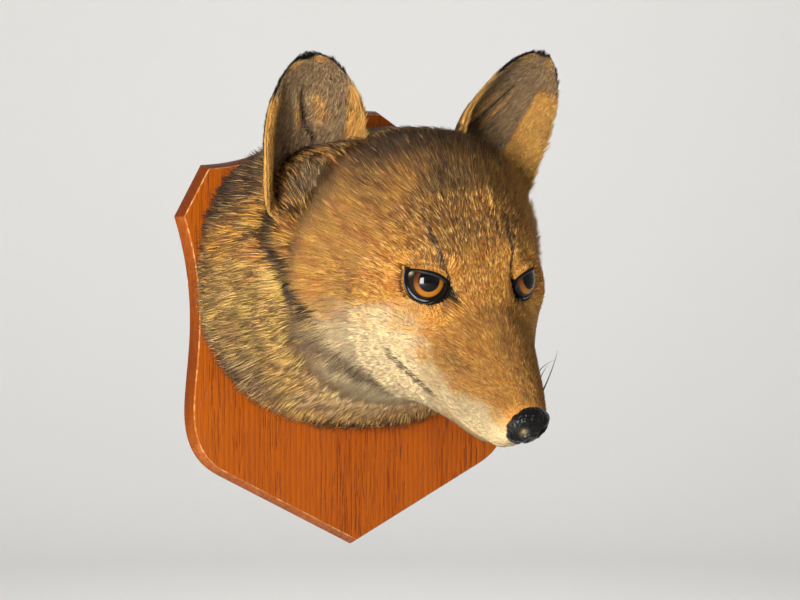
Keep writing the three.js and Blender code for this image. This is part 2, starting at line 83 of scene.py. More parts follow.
# The coat at each section: how deep it is, then each tuft's length and width.
COAT = {
    "board": (8.5, 25, 0.44),
    "ruff": (9, 27, 0.44),
    "neck": (8.5, 26, 0.42),
    "nape": (6.5, 21, 0.39),
    "ears": (4.2, 14, 0.35),
    "temples": (2.8, 10, 0.33),
    "cheeks": (2.1, 7.6, 0.3),
    "eyes": (1.4, 5.2, 0.26),
    "stop": (1.1, 4.2, 0.24),
    "muzzle": (0.8, 3.6, 0.22),
    "lips": (0.7, 3.0, 0.2),
    "tip": (0.5, 2.4, 0.2),
}

EAR_COAT = {"most": 14000, "clump": 1.8, "gather": 0.3, "mess": 9, "width": (0.26, 0.32), "cover": 3.4}

# Swellings and hollows of the face: place, reach, and lift.
FORMS = {
    "brow": ((20, -3, 10), (10, 9, 7), 2.2),
    "tear_hollow": ((13, 14, -6), (6, 8, 7), -1.6),
    "cheekbone": ((39, -9, -11), (10, 12, 10), 3.4),
    "under_eye": ((24, 14, -16), (8, 12, 8), -1.5),
    "upper_lip": ((13, 40, -36), (7, 16, 8), 1.5),
    "jaw_muscle": ((50, -42, -30), (14, 16, 18), 3),
    "forehead_groove": ((0, -22, 28), (6, 22, 10), -1.2),
    "crease": ((62, -48, -18), (10, 5, 16), -4),
    "ear_mouth": ((57, -58, 13), (9, 9, 12), -4),
}
EYE = {
    "at": (24.6, 3.2, -0.1), "wider": (2.4, 1.4, -1.2), "radius": 10.5, "aside": (31.6, 27), "above": 12,
    "wide": 20.6, "over": 5.5, "under": 8.3, "raised": 0.7, "pinch": 0.3, "tilt": 17, "skew": (0.3, -0.1),
    "lid": 0.8, "hold": 8, "fade": 15, "sunk": 2.2, "iris": 6.25, "pupil": 4.35, "rim": (0.55, 1.15),
}
NOSE = {
    "at": (0.8, 64.2, -33.8), "lean": 25, "wide": 18.2, "high": 20.6, "deep": 12, "spread": 0.12,
    "nostril": (5.0, 4.8, 3.0), "bore": 2.3, "pit": 3.2, "groove": 1.1, "groove_wide": 0.9, "groove_fade": 4,
}
EAR = {
    "inner": (24.2, -67.1, 33.7), "outer": (65.2, -62.3, -1.4), "tip": (58.9, -71.1, 68.7),
    "cup": 24, "curl": 3, "thick": 3.6, "sink": 22, "blunt": 2, "outer_share": 0.9, "narrow": 0.35,
    "square": 0.6, "shallow": 0.85, "thin_edge": 0.85, "top": 0.995, "coat": 0.7, "roll": 1.5,
}
MOUTH = {"corner": (2, -28.5), "dip": (20, -37), "front": (56, -45)}  # forward and above
SHIELD = {
    "thick": 7, "bevel": 2.1, "arris": 0.6, "back_edge": 0.4, "crest_half": 13, "crest_top": 99,
    "scoop": (27.5, 90), "scoop_ease": (44, 74), "shoulder": (74, 72), "corner": (86.6, 49),
    "waist_high": (73, 8), "waist_low": (82.2, -18), "bulge": (81.8, -38), "bulge_ease": (81.4, -52),
    "turn_ease": (76, -60.2), "turn": (66, -65.4), "point": -99,
}
SIGHT = 20.0  # how far across the eye its painted map reaches
SCREW = {"head": 4.2, "shank": 2, "land": 1.1, "play": 0.3, "heights": (50, -16)}
CAMERA = {"at": (-481.95, -955.53, 12.3), "turn": 28, "lens": 105.3}

# The stage, in metres. Each light has its place, what it points at, its size and its power.
SWEEP = {"radius": 2.2, "floor": -0.35, "bend": 0.6, "top": 3.0}
LIGHTS = {
    "Key": ((-1.15, -1.15, -0.02), (0, -0.08, 0.02), (0.5, 0.95), 46),
    "Fill": ((-0.2, -1.3, -0.7), (0, -0.08, 0.02), (0.4, 0.4), 3),
    "Back": ((0.5, 0.9, 0.8), (1.2, 2.4, 0.2), (0.9, 0.9), 12),
}


# ---- Small helpers ----


def smooth(x, low, high):
    """0 up to low, rising smoothly to 1 at high."""
    t = np.clip((np.asarray(x, float) - low) / (high - low), 0, 1)
    return t * t * (3 - 2 * t)


def fade(x, low, high):
    """1 up to low, falling smoothly to 0 at high."""
    return 1 - smooth(x, low, high)


def bell(x, wide):
    """1 where x is 0, falling to 0 on both sides."""
    return np.exp(-((x / wide) ** 2))


def most(*values):
    """The greatest of several values, place by place."""
    return np.maximum.reduce(np.broadcast_arrays(*values))


def unit(v):
    return v / np.maximum(np.linalg.norm(v, axis=-1, keepdims=True), 1e-9)


def turn_matrix(axis, degrees):
    """The rotation about axis, for points as rows times its transpose."""
    way = np.asarray(axis, float) / np.linalg.norm(axis)
    t = math.radians(degrees)
    k = np.array([[0, -way[2], way[1]], [way[2], 0, -way[0]], [-way[1], way[0], 0]])
    return np.eye(3) + math.sin(t) * k + (1 - math.cos(t)) * k @ k


def through(values, at):
    """A smooth curve through values given one per section."""
    v = np.asarray(values, float)
    last = len(v) - 1
    i = np.clip(np.floor(at).astype(int), 0, last - 1)
    t = at - i
    a, b, c, d = v[np.maximum(i - 1, 0)], v[i], v[i + 1], v[np.minimum(i + 2, last)]
    return b + 0.5 * t * (c - a + t * (2 * a - 5 * b + 4 * c - d + t * (3 * (b - c) + d - a)))


def bezier(marks, t):
    """The curve from the first mark to the last that is drawn towards those between."""
    last = len(marks) - 1
    shares = [math.comb(last, k) * (1 - t) ** (last - k) * t**k for k in range(last + 1)]
    return sum(share[:, None] * np.array(mark, float) for share, mark in zip(shares, marks))


def spaced(start, end, spacing):
    """Values from start to end whose steps follow the function spacing."""
    fine = np.linspace(start, end, 4001)
    count = np.concatenate([[0], np.cumsum(np.diff(fine) / spacing(0.5 * (fine[1:] + fine[:-1])))])
    steps = int(math.ceil(count[-1]))
    return np.interp(np.linspace(0, count[-1], steps + 1), count, fine)


def ripple(points, wavelength, seed):
    """A smooth random field from -1 to 1 over places in space."""
    rng = np.random.default_rng(seed)
    total = 0
    for _ in range(7):
        way = unit(rng.normal(size=3)) * (2 * math.pi / wavelength) * rng.uniform(0.6, 1.6)
        total = total + np.sin(points @ way + rng.uniform(0, 2 * math.pi))
    return np.clip(total / 3.2, -1, 1)


# ---- The head's frame and pose ----

PITCH = math.radians(HEAD["pitch"])
MIDDLE = np.array([0, -HEAD["out"], HEAD["up"]])
FORWARD = (0, -math.cos(PITCH), -math.sin(PITCH))
TURN = turn_matrix((0, 0, 1), HEAD["yaw"]) @ turn_matrix(FORWARD, HEAD["roll"])


def upright(point):
    """Points of the head's frame in the shield's frame, before the head turns aside."""
    point = np.asarray(point, float)
    out = HEAD["out"] + point[..., 1] * math.cos(PITCH) + point[..., 2] * math.sin(PITCH)
    up = HEAD["up"] - point[..., 1] * math.sin(PITCH) + point[..., 2] * math.cos(PITCH)
    return np.stack([point[..., 0], -out, up], -1)


def in_head(place):
    """The inverse of upright."""
    out, up = -place[..., 1] - HEAD["out"], place[..., 2] - HEAD["up"]
    c, s = math.cos(PITCH), math.sin(PITCH)
    return np.stack([place[..., 0], out * c - up * s, out * s + up * c], -1)


def posed(place, share=1.0):
    """The head turns aside and tips a little, and the neck twists to follow it."""
    turned = (place - MIDDLE) @ TURN.T + MIDDLE + np.array([HEAD["aside"], 0, 0])
    return place + (turned - place) * np.asarray(share)[..., None]


def at_head(point):
    """Points of the head's frame in the shield's, on the posed head."""
    return posed(upright(point))


def off_head(place):
    """Points of the turned head back in the head's frame."""
    return in_head((place - np.array([HEAD["aside"], 0, 0]) - MIDDLE) @ TURN + MIDDLE)


# ---- The body's surface ----

ROWS = list(SECTIONS.values())
LAST = len(ROWS) - 1


def loft(along, angle):
    """The plain loft: along runs from 0 at the shield to 1 at the nose, angle goes round from the top."""
    at = np.minimum(along, 1) * LAST

    def value(pick):
        return through([pick(row) for row in ROWS], at)

    top = np.stack([value(lambda r: r[0][0]), value(lambda r: r[0][1])], -1)
    low = np.stack([value(lambda r: r[1][0]), value(lambda r: r[1][1])], -1)
    c, s = np.cos(angle), np.sin(angle)
    widest = value(lambda r: r[3])
    power = 2 / np.where(c > 0, value(lambda r: r[4]), value(lambda r: r[5]))
    height = widest + np.sign(c) * np.abs(c) ** power * np.where(c > 0, 1 - widest, widest)
    side = np.sign(s) * np.abs(s) ** power * value(lambda r: r[2])
    place = low + (top - low) * height[..., None]
    return np.stack([side, -place[..., 0], place[..., 1]], -1)


def near(point, at, reach):
    """How near points of the head's frame are to a place, and to its mirror image: 1 there, falling to 0."""
    total = 0
    for side in (1, -1) if at[0] else (1,):
        off = (point - np.array([side * at[0], at[1], at[2]])) / np.array(reach)
        total = total + np.exp(-(off * off).sum(-1))
    return total


def gaze(side):
    """The way an eye looks."""
    aside, above = math.radians(EYE["aside"][side > 0]), math.radians(EYE["above"])
    level = math.cos(above)
    return np.array([side * math.sin(aside) * level, math.cos(aside) * level, math.sin(above)])


def eye_shift(side):
    """The right eye sits a little wider than the left."""
    return np.array(EYE["wider"]) * (side > 0)


def eye_centre(side):
    right, forward, above = EYE["at"]
    return np.array([side * right, forward, above]) + eye_shift(side) - gaze(side) * EYE["radius"]


def eye_axes(side):
    """Across the opening towards the nose, up, and out of the eye."""
    look = gaze(side)
    across = unit(np.cross((0, 0, 1), look)) @ turn_matrix(look, -side * EYE["tilt"]).T
    return side * across, np.cross(look, across), look


def out_of_eye(side, x, y, z):
    """Points of the head's frame, given about an eye: towards the nose, up and out of it."""
    inner, up, look = eye_axes(side)
    return eye_centre(side) + (x[..., None] * inner + y[..., None] * up + z[..., None] * look)


def lid_height(across, over):
    """The lids' edge above or below the eye's middle, from the outer corner (-1) to the inner (1)."""
    high, low = EYE["skew"]
    return np.where(over, EYE["over"] * (1 + high * across), EYE["under"] * (1 + low * across))


def eye_place(point, side):
    """Where a point lies about an eye: towards the nose, up, out, how far outside the lids, and all three."""
    local = point - eye_centre(side)
    inner, up, look = eye_axes(side)
    x, y, z = local @ inner, local @ up - EYE["raised"], local @ look
    half_wide = EYE["wide"] / 2
    half_high = lid_height(np.clip(x / half_wide, -1, 1), y > 0)
    reach = np.sqrt((x / half_wide) ** 2 + (np.abs(y) / half_high) ** (2 / (1 + EYE["pinch"])))
    gap = np.hypot(x, y) * (1 - 1 / np.maximum(reach, 0.05))
    return x, y, z, gap, local


def before_eye(values, point, z, side):
    """Values where the skin faces out before the eye on this side, and 0 elsewhere."""
    return np.where((z > 0) & (point[..., 0] * side >= 0), values, 0)


def beside_eye(point, z, side):
    """Where the skin faces out on an eye's side of the middle line."""
    return (z > 0) & (point[..., 0] * side > 0)


def eye_share(point, side):
    """1 where the skin lies on the ball, 0 away from the eye."""
    x, y, z, _, _ = eye_place(point, side)
    share = fade(np.hypot(x, y), EYE["hold"], EYE["fade"])
    return before_eye(share, point, z, side)


def mouth_height(forward):
    """How high the closed mouth's line runs at a place along the muzzle."""
    curve = bezier((MOUTH["corner"], MOUTH["dip"], MOUTH["front"]), np.linspace(0, 1, 60))
    return np.interp(forward, *curve.T)


def mouth_gap(point):
    """Height above the mouth's line, and how much of a mouth there is here."""
    gap = point[..., 2] - mouth_height(point[..., 1])
    here = smooth(point[..., 1], MOUTH["corner"][0] - 3, MOUTH["corner"][0] + 5)
    return gap, here


def brow_line(point):
    """A furrow that climbs from each eye's inner corner between the brow and the forehead."""
    right, forward, above = np.moveaxis(point, -1, 0)
    line = np.interp(forward, (-20, -8, 0, 7), (17.4, 17.8, 17.2, 14))
    off = (np.abs(right) - line) / 1.2
    return np.exp(-off * off) * smooth(forward, -21, -12) * fade(forward, 5, 9) * smooth(above, 0, 5)


def tear_line(point, side):
    """The dark duct that runs from an eye's inner corner towards the nose."""
    start, end = np.array([14.2 * side, 5.6, -1.0]), np.array([12.5 * side, 11.8, -4.1])
    start, end = start + eye_shift(side), end + eye_shift(side)
    run = end - start
    t = np.clip(((point - start) @ run) / (run @ run), 0, 1)
    off = np.linalg.norm(point - start - t[..., None] * run, axis=-1) / (1.7 + 0.3 * t)
    return np.exp(-off * off)


def section_value(along, column):
    """A column of COAT at places along the body."""
    return through([row[column] for row in COAT.values()], np.clip(along, 0, 1) * LAST)


def coat_depth(along, angle, point):
    """How far the skin lies inside the coat's outline."""
    depth = section_value(along, 0)
    off_top = np.abs(angle)
    cheek = smooth(along, 0.36, 0.5) * fade(along, 0.62, 0.74) * smooth(off_top, 1.2, 2.0)
    depth = depth * (1 + 0.7 * cheek)
    for side in (1, -1):
        depth = depth * (1 - eye_share(point, side))
    return depth


def body_surface(along, angle, inset=1.0):
    """The skin where inset is 1 and the coat's outline where it is 0, and the same in the head's frame."""
    along, angle = np.broadcast_arrays(np.asarray(along, float), np.asarray(angle, float))
    step = 1e-3
    here = loft(along, angle)
    ahead = loft(along + step, angle) - loft(along - step, angle)
    around = loft(along, angle + step) - loft(along, angle - step)
    out = unit(np.cross(ahead, around))
    point = in_head(here)
    lift = sum(amount * near(point, at, reach) for at, reach, amount in FORMS.values())
    place = here + out * lift[..., None]
    point = in_head(place)
    for side in (1, -1):
        share = eye_share(point, side)
        local = point - eye_centre(side)
        far = np.linalg.norm(local, axis=-1)
        ball = upright(local * ((EYE["radius"] + EYE["lid"]) / far)[..., None] + eye_centre(side))
        place = place + (ball - place) * share[..., None]
    point = in_head(place)
    place = place - out * (inset * coat_depth(along, angle, point))[..., None]
    point = in_head(place)
    if inset:
        point = folded(point, along)
        place = upright(point)
    return posed(place, smooth(along, *TWIST)), point


def folded(point, along):
    """The skin's folds: lids, tear ducts, brow furrows and the closed mouth."""
    centre = np.array([0, -40, -12.0])
    inward = unit(centre - point)
    gap, here = mouth_gap(point)
    ahead = smooth(along, 0.55, 0.62)
    groove = 1.3 * bell(gap, 0.8) - 0.7 * bell(gap - 2.4, 1.6)
    tuck = 0.4 * smooth(-gap, 0, 1.5) * fade(-gap, 6, 14)
    across = unit(point * np.array([1, 0, 0.25]) - np.array([0, 0, -12.0]))
    point = point - across * ((groove + tuck) * here * ahead)[..., None]
    point = point + inward * (0.7 * brow_line(point) * ahead)[..., None]
    for side in (1, -1):
        _, y, z, gap, local = eye_place(point, side)
        far = np.linalg.norm(local, axis=-1)
        close = before_eye(fade(gap, 4.5, 7), point, z, side)
        rim = EYE["radius"] + EYE["lid"] + 0.45 * bell(gap - 0.9, 0.8)
        rim = rim - 0.7 * bell(gap - 2.9, 0.7) * smooth(y, -1, 3)
        rim = rim - 0.35 * bell(gap - 2.5, 0.8) * smooth(-y, -1, 3)
        rim = rim - (EYE["lid"] + EYE["sunk"]) * smooth(-gap, -0.1, 0.9)
        level = far + (rim - far) * close
        level = level - 0.6 * tear_line(point, side)
        point = eye_centre(side) + local * (level / far)[..., None]
    return point


# ---- Markings ----
# Each is a share from 0 to 1. warm holds rust, cream, straw and dark tips.
# cool holds grey, brown, black and bare skin.

CREAM_TOP = (  # how high the pale hair climbs above the mouth's line, at places forward along the muzzle
    (-40, 3), (-16, 5), (-5, 10), (0, 13), (6, 14), (14, 12), (20, 8), (26, 5), (33, 6), (40, 9),
    (48, 12), (56, 14),
)
CREAM_SOFT = 15  # how far its edge blends


def lip_cream(point, stray=0.0):
    """Pale hair along the upper lip and over the cheek, up to a line that climbs back from the nose."""
    gap, _ = mouth_gap(point)
    top = np.interp(point[..., 1], *zip(*CREAM_TOP)) + 2 - 6 * smooth(point[..., 0], 5, 15)
    return fade((gap - top + 4 * stray) / CREAM_SOFT, -1, 1) * smooth(point[..., 1], -50, -6)


def eye_black(point, side):
    """The black of an eye's lids and tear duct."""
    _, y, z, apart, _ = eye_place(point, side)
    margin = np.where(y > 0, 0.6, 0.1)
    return most(tear_line(point, side), before_eye(fade(apart - margin, 0.0, 0.5), point, z, side))


def body_markings(point, along, angle, place):
    """Shares of warm and of cool over neck, head and muzzle."""
    theta = np.degrees(np.abs(angle))
    wave = ripple(place, 30, 3)
    fine = ripple(place, 10, 4)
    edge = theta + 5 * wave + 3 * fine
    top_side = fade(edge, 45, 85)

    rust = most(
        0.55 * smooth(along, 0.34, 0.50) * top_side + 0.15 * fine * top_side,
        0.8 * near(point, (30, -2, -4), (12, 14, 9)),
        0.8 * bell(along - 0.28, 0.07) * bell(edge - 72, 15),
    )
    gap, mouth = mouth_gap(point)
    cream = most(
        lip_cream(point, fine) * smooth(edge, 34, 72),
        0.85 * smooth(edge, 112, 128) * smooth(along, 0.50, 0.60),
        0.45 * smooth(edge, 136, 150) * smooth(along, 0.14, 0.26),
    )
    cream = cream * (1 - 0.45 * smooth(-gap, 1.0, 3.0) * smooth(along, 0.74, 0.84))
    straw = most(
        0.8 * fade(along, 0.34, 0.44) * smooth(edge, 74, 94),
        0.7 * near(point, (48, -47, 18), (9, 12, 18)),
        0.55 * bell(along - 0.47, 0.1) * smooth(edge, 78, 98),
    )

    # patch is a band from under the cheek to the jaw. Its grey is partly grey fur and partly painted shade
    # under the jaw.
    patch = theta - 119 - 247 * (along - 0.443) + 5 * fine + 4 * wave
    ear_mouth = np.clip(1.5 * near(point, (54, -56, 15), (14, 10, 16)), 0, 1)
    grey = most(
        0.95 * bell(patch, 11) * smooth(along, 0.33, 0.42) * fade(along, 0.53, 0.59),
        0.6 * fade(along, 0.20, 0.32) * smooth(edge, 96, 118) * fade(edge, 140, 152),
        0.32 * fade(along, 0.26, 0.40) * smooth(fine + wave, 0.0, 1.2) * smooth(edge, 60, 90),
        0.5 * near(point, (6, -27, 31), (8, 9, 12)) * smooth(fine, -0.6, 0.6),
        0.75 * ear_mouth,
    )
    brown = most(
        # The brown along the top of nape, crown and forehead is partly dark guard hair and partly painted
        # shade of the top, which faces away from the light.
        0.7 * fade(along, 0.20, 0.34) * fade(edge, 62, 86),
        0.75 * fade(along, 0.38, 0.56) * fade(edge, 26, 52),
        (0.44 + 0.2 * wave) * fade(along, 0.60, 0.70) * fade(edge, 36, 66),
        0.6 * near(point, (16, -20, 25), (7, 12, 12)) * smooth(fine, -0.8, 0.6),
        brow_line(point),
        0.46 * near(point, (19, 28, -21), (7, 15, 7)),
        0.20 * smooth(along, 0.66, 0.76) * (1 - cream),
    )
    wrinkle = bell(theta - 79 + 60 * (along - 0.21), 2.2)
    # The crease's brown and black are partly the parting's dark hair and partly painted shade in the fold.
    crease = most(crease_line(along, theta), crease_line(along - 0.025, theta))
    brown = most(
        brown * (1 - 0.8 * ear_mouth),
        0.8 * wrinkle * smooth(along, 0.19, 0.24) * fade(along, 0.35, 0.4),
        0.9 * crease,
    )

    mouth = mouth * smooth(along, 0.58, 0.62) * fade(point[..., 1], 24, 31) * smooth(theta, 84, 96)
    black = most(
        0.55 * crease,
        0.45 * brow_line(point),
        0.85 * (bell(gap - 0.4, 1.5 - 0.8 * smooth(point[..., 1], 18, 27)) * mouth),
        0.62 * near(point, (0, 54.5, -21.8), (1.7, 2.4, 3)),
        eye_black(point, 1),
        eye_black(point, -1),
    )
    bare = 0.8 * (bell(gap + 1.7, 0.8) * mouth)

    tips = most(
        0.9 * smooth(edge, 150, 166) * fade(along, 0.16, 0.26),
        0.85 * fade(along, 0.08, 0.2) * smooth(edge, 36, 52) * fade(edge, 84, 98),
        0.4 * fade(along, 0.10, 0.26) * smooth(fine, -0.5, 0.7),
        # Dark tips just ahead of the crease: partly dark hair, partly painted shade of the crease on the hair
        # that lies over it.
        0.9 * crease_line(along - 0.05, theta),
    )
    warm = np.stack([rust, cream, straw, tips], -1)
    cool = np.stack([grey, brown, black, bare], -1)
    return np.clip(warm, 0, 1), np.clip(cool, 0, 1)


def crease_line(along, theta):
    """The parting that runs down behind the cheek, from below the ear towards the throat. Its dark colours
    are partly dark hair and partly painted shade of the crease.
    """
    line = np.interp(theta, (70, 80, 91.5, 101, 112), (0.262, 0.273, 0.343, 0.398, 0.43))
    across = bell(along - line, 0.019)
    return across * smooth(theta, 62, 76) * fade(theta, 100, 114)


def ear_markings(u, v, behind, place):
    """Ears: grey-brown inside with golden edges, black behind and round the tip, and painted shade in the
    slit of the cup.
    """
    fine = ripple(place, 7, 5)
    edge = np.abs(u)
    front = 1 - behind
    rim = most(smooth(v, 0.945, 0.975), smooth(edge, 0.965, 1.0) * smooth(v, 0.66, 0.82))
    gold_edge = np.where(
        u > 0, smooth(edge, 0.48, 0.62), smooth(edge, 0.72, 0.9) * (1 - 0.7 * smooth(v, 0.4, 0.6))
    )
    gold_top = 0.45 * smooth(v, 0.80, 0.92) * smooth(edge, 0.1, 0.5)
    gold_edge = most(gold_edge * (1 - 0.8 * smooth(v, 0.55, 0.75)), gold_top) * front
    ridge = ear_ridges(u, v) * front
    turned = smooth(edge, 0.86, 0.95) * fade(v, 0.60, 0.80) * behind
    rust = 0.3 * ridge + 0.25 * smooth(v, 0.66, 0.9) * front
    cream = 0.12 * gold_edge + 0.25 * ridge
    straw = 0.5 * most(gold_edge, turned)
    grey = front * (1 - gold_edge) * (1 - 0.5 * ridge)
    brown = most(0.22 * front * (1 - gold_edge) * (0.7 + 0.3 * fine), 0.8 * behind * (1 - turned))
    # The black along ear_fold in the cup is painted shade of the fold.
    black = most(
        0.75 * ear_fold(u, v, 0.045) * front, behind * smooth(v, 0.02, 0.3) * (1 - turned), rim,
    )
    warm = np.stack([rust, cream, straw, 0.0 * u], -1)
    cool = np.stack([grey, brown, black, 0.0 * u], -1)
    return np.clip(warm, 0, 1), np.clip(cool, 0, 1)


# ---- Ears ----


def ear_fold(u, v, wide):
    """The slit inside the cup, which leans inwards down to the ear's base."""
    off = (u - np.interp(v, (0, 0.2, 0.6), (-0.42, -0.22, -0.04))) / wide
    return np.exp(-off * off) * fade(v, 0.58, 0.74)


def ear_ridges(u, v):
    """Two swollen ridges inside the cup, one each side of its fold."""
    off = u - np.interp(v, (0, 0.2, 0.6), (-0.42, -0.22, -0.04))
    outer = bell(off - 0.13, 0.08) * smooth(v, 0.08, 0.25)
    return (outer + bell(off + 0.24, 0.17) * smooth(v, 0.0, 0.2)) * fade(v, 0.46, 0.68)


def ear_surface(side, u, v, behind, inset=1.0):
    """A cupped ear: u runs from the inner edge (-1) to the outer (1), v from the base (0) to the tip (1)."""
    u, v, behind = np.broadcast_arrays(*(np.asarray(w, float) for w in (u, v, behind)))
    inner, outer = np.array(EAR["inner"]), np.array(EAR["outer"])
    base = (inner + outer) / 2
    axis = np.array(EAR["tip"]) - base
    tall = np.linalg.norm(axis)
    upward = axis / tall
    base_side = unit(outer - inner)
    square = unit(base_side - upward * (base_side @ upward))
    facing = -np.cross(square, upward)
    share = np.maximum(v, 0)
    turn = smooth(share, 0, EAR["square"])[..., None]
    across = unit(base_side * (1 - turn) + square * turn)
    half = np.linalg.norm(outer - inner) / 2 * np.sqrt(1 - share ** EAR["blunt"])
    half = (half - inset * EAR["coat"] * 0.6) * (1 - 1.3 * np.clip(-v, 0, 0.4))
    narrowed = half * (1 + (EAR["outer_share"] - 1) * smooth(share, 0, EAR["narrow"]))
    cup = EAR["cup"] * (1 - share) ** EAR["shallow"]
    hollow = cup * (1 - u * u) + EAR["curl"] * share * u * u
    wall = behind * EAR["thick"] * (1 - EAR["thin_edge"] * u**4)
    relief = 1.5 * ear_ridges(u, v)
    relief = relief - 1.6 * ear_fold(u, v, 0.06)
    relief = relief + 0.7 * smooth(u, 0.78, 0.9) * fade(u, 0.9, 1.0) * fade(v, 0.6, 0.9)
    skin = inset * EAR["coat"] * (2 * behind - 1) * (1 - u**6)
    sideways = u * np.where(u > 0, narrowed, half)
    point = base + upward * (v * tall)[..., None] + across * sideways[..., None]
    point = point + facing * (EAR["curl"] * share - hollow - wall + skin + relief * (1 - behind))[..., None]
    roll = smooth(u, 0.55, 0.82) * np.sqrt(fade(u, 0.8, 1.0)) * fade(v, 0.62, 0.88)
    point = point + across * (EAR["roll"] * roll * (2 * behind - 1))[..., None]
    point = point * np.array([side, 1, 1])
    return at_head(point)


# ---- Meshes ----


def made_mesh(name, points, corners):
    """A mesh object from points in millimetres and faces of equal size, shaded smooth."""
    mesh = bpy.data.meshes.new(name)
    mesh.vertices.add(len(points))
    mesh.vertices.foreach_set("co", (np.asarray(points) * MM).astype(np.float32).ravel())
    corners = np.asarray(corners, np.int32)
    mesh.loops.add(corners.size)
    mesh.loops.foreach_set("vertex_index", corners.ravel())
    mesh.polygons.add(len(corners))
    mesh.polygons.foreach_set("loop_start", np.arange(0, corners.size, corners.shape[1], dtype=np.int32))
    mesh.polygons.foreach_set("use_smooth", np.ones(len(corners), bool))
    mesh.update(calc_edges=True)
    made = bpy.data.objects.new(name, mesh)
    bpy.context.scene.collection.objects.link(made)
    return made


def read(items, name, wide=1, kind=np.float32):
    """One property of every item, as an array with one row each where it is wide."""
    values = np.zeros(len(items) * wide, kind)
    items.foreach_get(name, values)
    return values.reshape(-1, wide) if wide > 1 else values


def at_corners(made, per_point):
    return per_point[read(made.data.loops, "vertex_index", kind=np.int32)]


def add_uv(made, per_point):
    layer = made.data.uv_layers.new(name="OFBake")
    layer.uv.foreach_set("vector", at_corners(made, per_point).astype(np.float32).ravel())


def add_colours(made, name, per_point, domain="POINT"):
    layer = made.data.color_attributes.new(name, "FLOAT_COLOR", domain)
    values = at_corners(made, per_point) if domain == "CORNER" else per_point
    layer.data.foreach_set("color", values.astype(np.float32).ravel())


def grid_faces(rows, columns, closed):
    """Quads over a grid of points, its columns closed into a ring or not."""
    i, j = np.meshgrid(np.arange(rows - 1), np.arange(columns if closed else columns - 1), indexing="ij")
    k = (j + 1) % columns
    low, high = i * columns, (i + 1) * columns
    return np.stack([low + j, low + k, high + k, high + j], -1).reshape(-1, 4)


def tube_triangles(rows, columns):
    """A closed tube's triangles over a grid of rings, whose two ends are points after the grid's own."""
    quads = grid_faces(rows, columns, True)
    j = np.arange(columns)
    k = (j + 1) % columns
    last = (rows - 1) * columns
    start = np.stack([k, j, np.full(columns, rows * columns)], -1)
    end = np.stack([last + j, last + k, np.full(columns, rows * columns + 1)], -1)
    return np.concatenate([quads[:, [0, 1, 2]], quads[:, [0, 2, 3]], start, end])


def tube_points(grid):
    """A grid of rings as a list of places, with the middle of its first and last ring at the end."""
    return np.concatenate([grid.reshape(-1, 3), grid[:1].mean(1), grid[-1:].mean(1)])


def tube_values(values):
    """Values on a grid of rings, with one of an end ring's at each point that closes it."""
    flat = values.reshape(-1, values.shape[-1])
    return np.concatenate([flat, flat[:1], flat[-1:]])


def alone(made):
    """Selects one object and makes it active."""
    bpy.ops.object.select_all(action="DESELECT")
    made.select_set(True)
    bpy.context.view_layer.objects.active = made


def outward(made):
    """Turns a closed mesh's faces outwards."""
    alone(made)
    bpy.ops.object.mode_set(mode="EDIT")
    bpy.ops.mesh.select_all(action="SELECT")
    bpy.ops.mesh.normals_make_consistent(inside=False)
    bpy.ops.object.mode_set(mode="OBJECT")


def placed(made, material, *, replaces=()):
    """The last step of every piece: its finish, the body it rides on and what it stands for."""
    made.data.materials.clear()
    made.data.materials.append(material)
    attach(made, "root")
    if replaces:
        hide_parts(*replaces)
    return made


# ---- Skin ----

BODY_PATCH = (0.01, 0.01, 0.98, 0.70)  # of the unwrap: left, bottom, width and height
EAR_PATCHES = {(1, 0): (0.01, 0.74), (1, 1): (0.26, 0.74), (-1, 0): (0.51, 0.74), (-1, 1): (0.76, 0.74)}
EAR_PATCH_SIZE = (0.23, 0.24)
TUFT_PATCH = 0.003  # of the unwrap, for each tuft
# The low first value of SKIN_STRAND darkens the skin, as painted shade under the fur.
SKIN_STRAND = (0.26, 0.5, 0.5, 1.0)  # stands for the place along a hair, its shade and its lock's
LEAST_FACES = 1000  # of a skin that came whole through a union
SEAM_REACH = 0.005  # how far round an ear's root the skin is eased, in metres


def body_uv(along, angle):
    left, bottom, width, height = BODY_PATCH
    across, up = np.broadcast_arrays(angle / (2 * math.pi) % 1.0, np.clip(along, 0, 1))
    return np.stack([left + width * across, bottom + height * up], -1)


def ear_uv(side, behind, u, v):
    left, bottom = EAR_PATCHES[(side, behind)]
    wide, high = EAR_PATCH_SIZE
    return np.stack([left + wide * (u + 1) / 2, bottom + high * np.clip(v, 0, 1)], -1)


def ring_places():
    """Sections of the skin, close together at the eyes and wide apart under the long hair."""

    def spacing(t):
        return 0.0078 - 0.0056 * smooth(t, 0.40, 0.57) + 0.0012 * smooth(t, 0.76, 0.84)

    return spaced(*ENDS, spacing)


def round_places():
    """Angles round the skin, close together across the eyes. The ring starts and ends underneath."""

    def spacing(angle):
        return np.radians(1.75 - 1.15 * np.exp(-(((np.degrees(np.abs(angle)) - 45) / 20) ** 4)))

    return spaced(-math.pi, math.pi, spacing)[:-1]


def body_grid(along, angle):
    """The skin from the shield round the muzzle's end: how far along, places, and the same in the head."""
    place, point = body_surface(along[:, None], angle[None, :])
    centre = place[-1].mean(0)
    onward = unit(at_head(np.array([0, 1, -TIP["drop"]])) - at_head(np.zeros(3)))
    step = np.arange(1, TIP["rings"] + 1)
    turn = (step / (TIP["rings"] + TIP["blunt"]) * math.pi / 2)[:, None, None]
    inward = (centre - place[-1]) * (1 - np.cos(turn))
    end = place[-1] + inward + onward * np.sin(turn) * (TIP["length"] - 0.7)
    return (
        np.concatenate([along, along[-1] + TIP["step"] * step]),
        np.concatenate([place, end]),
        np.concatenate([point, off_head(end)]),
    )


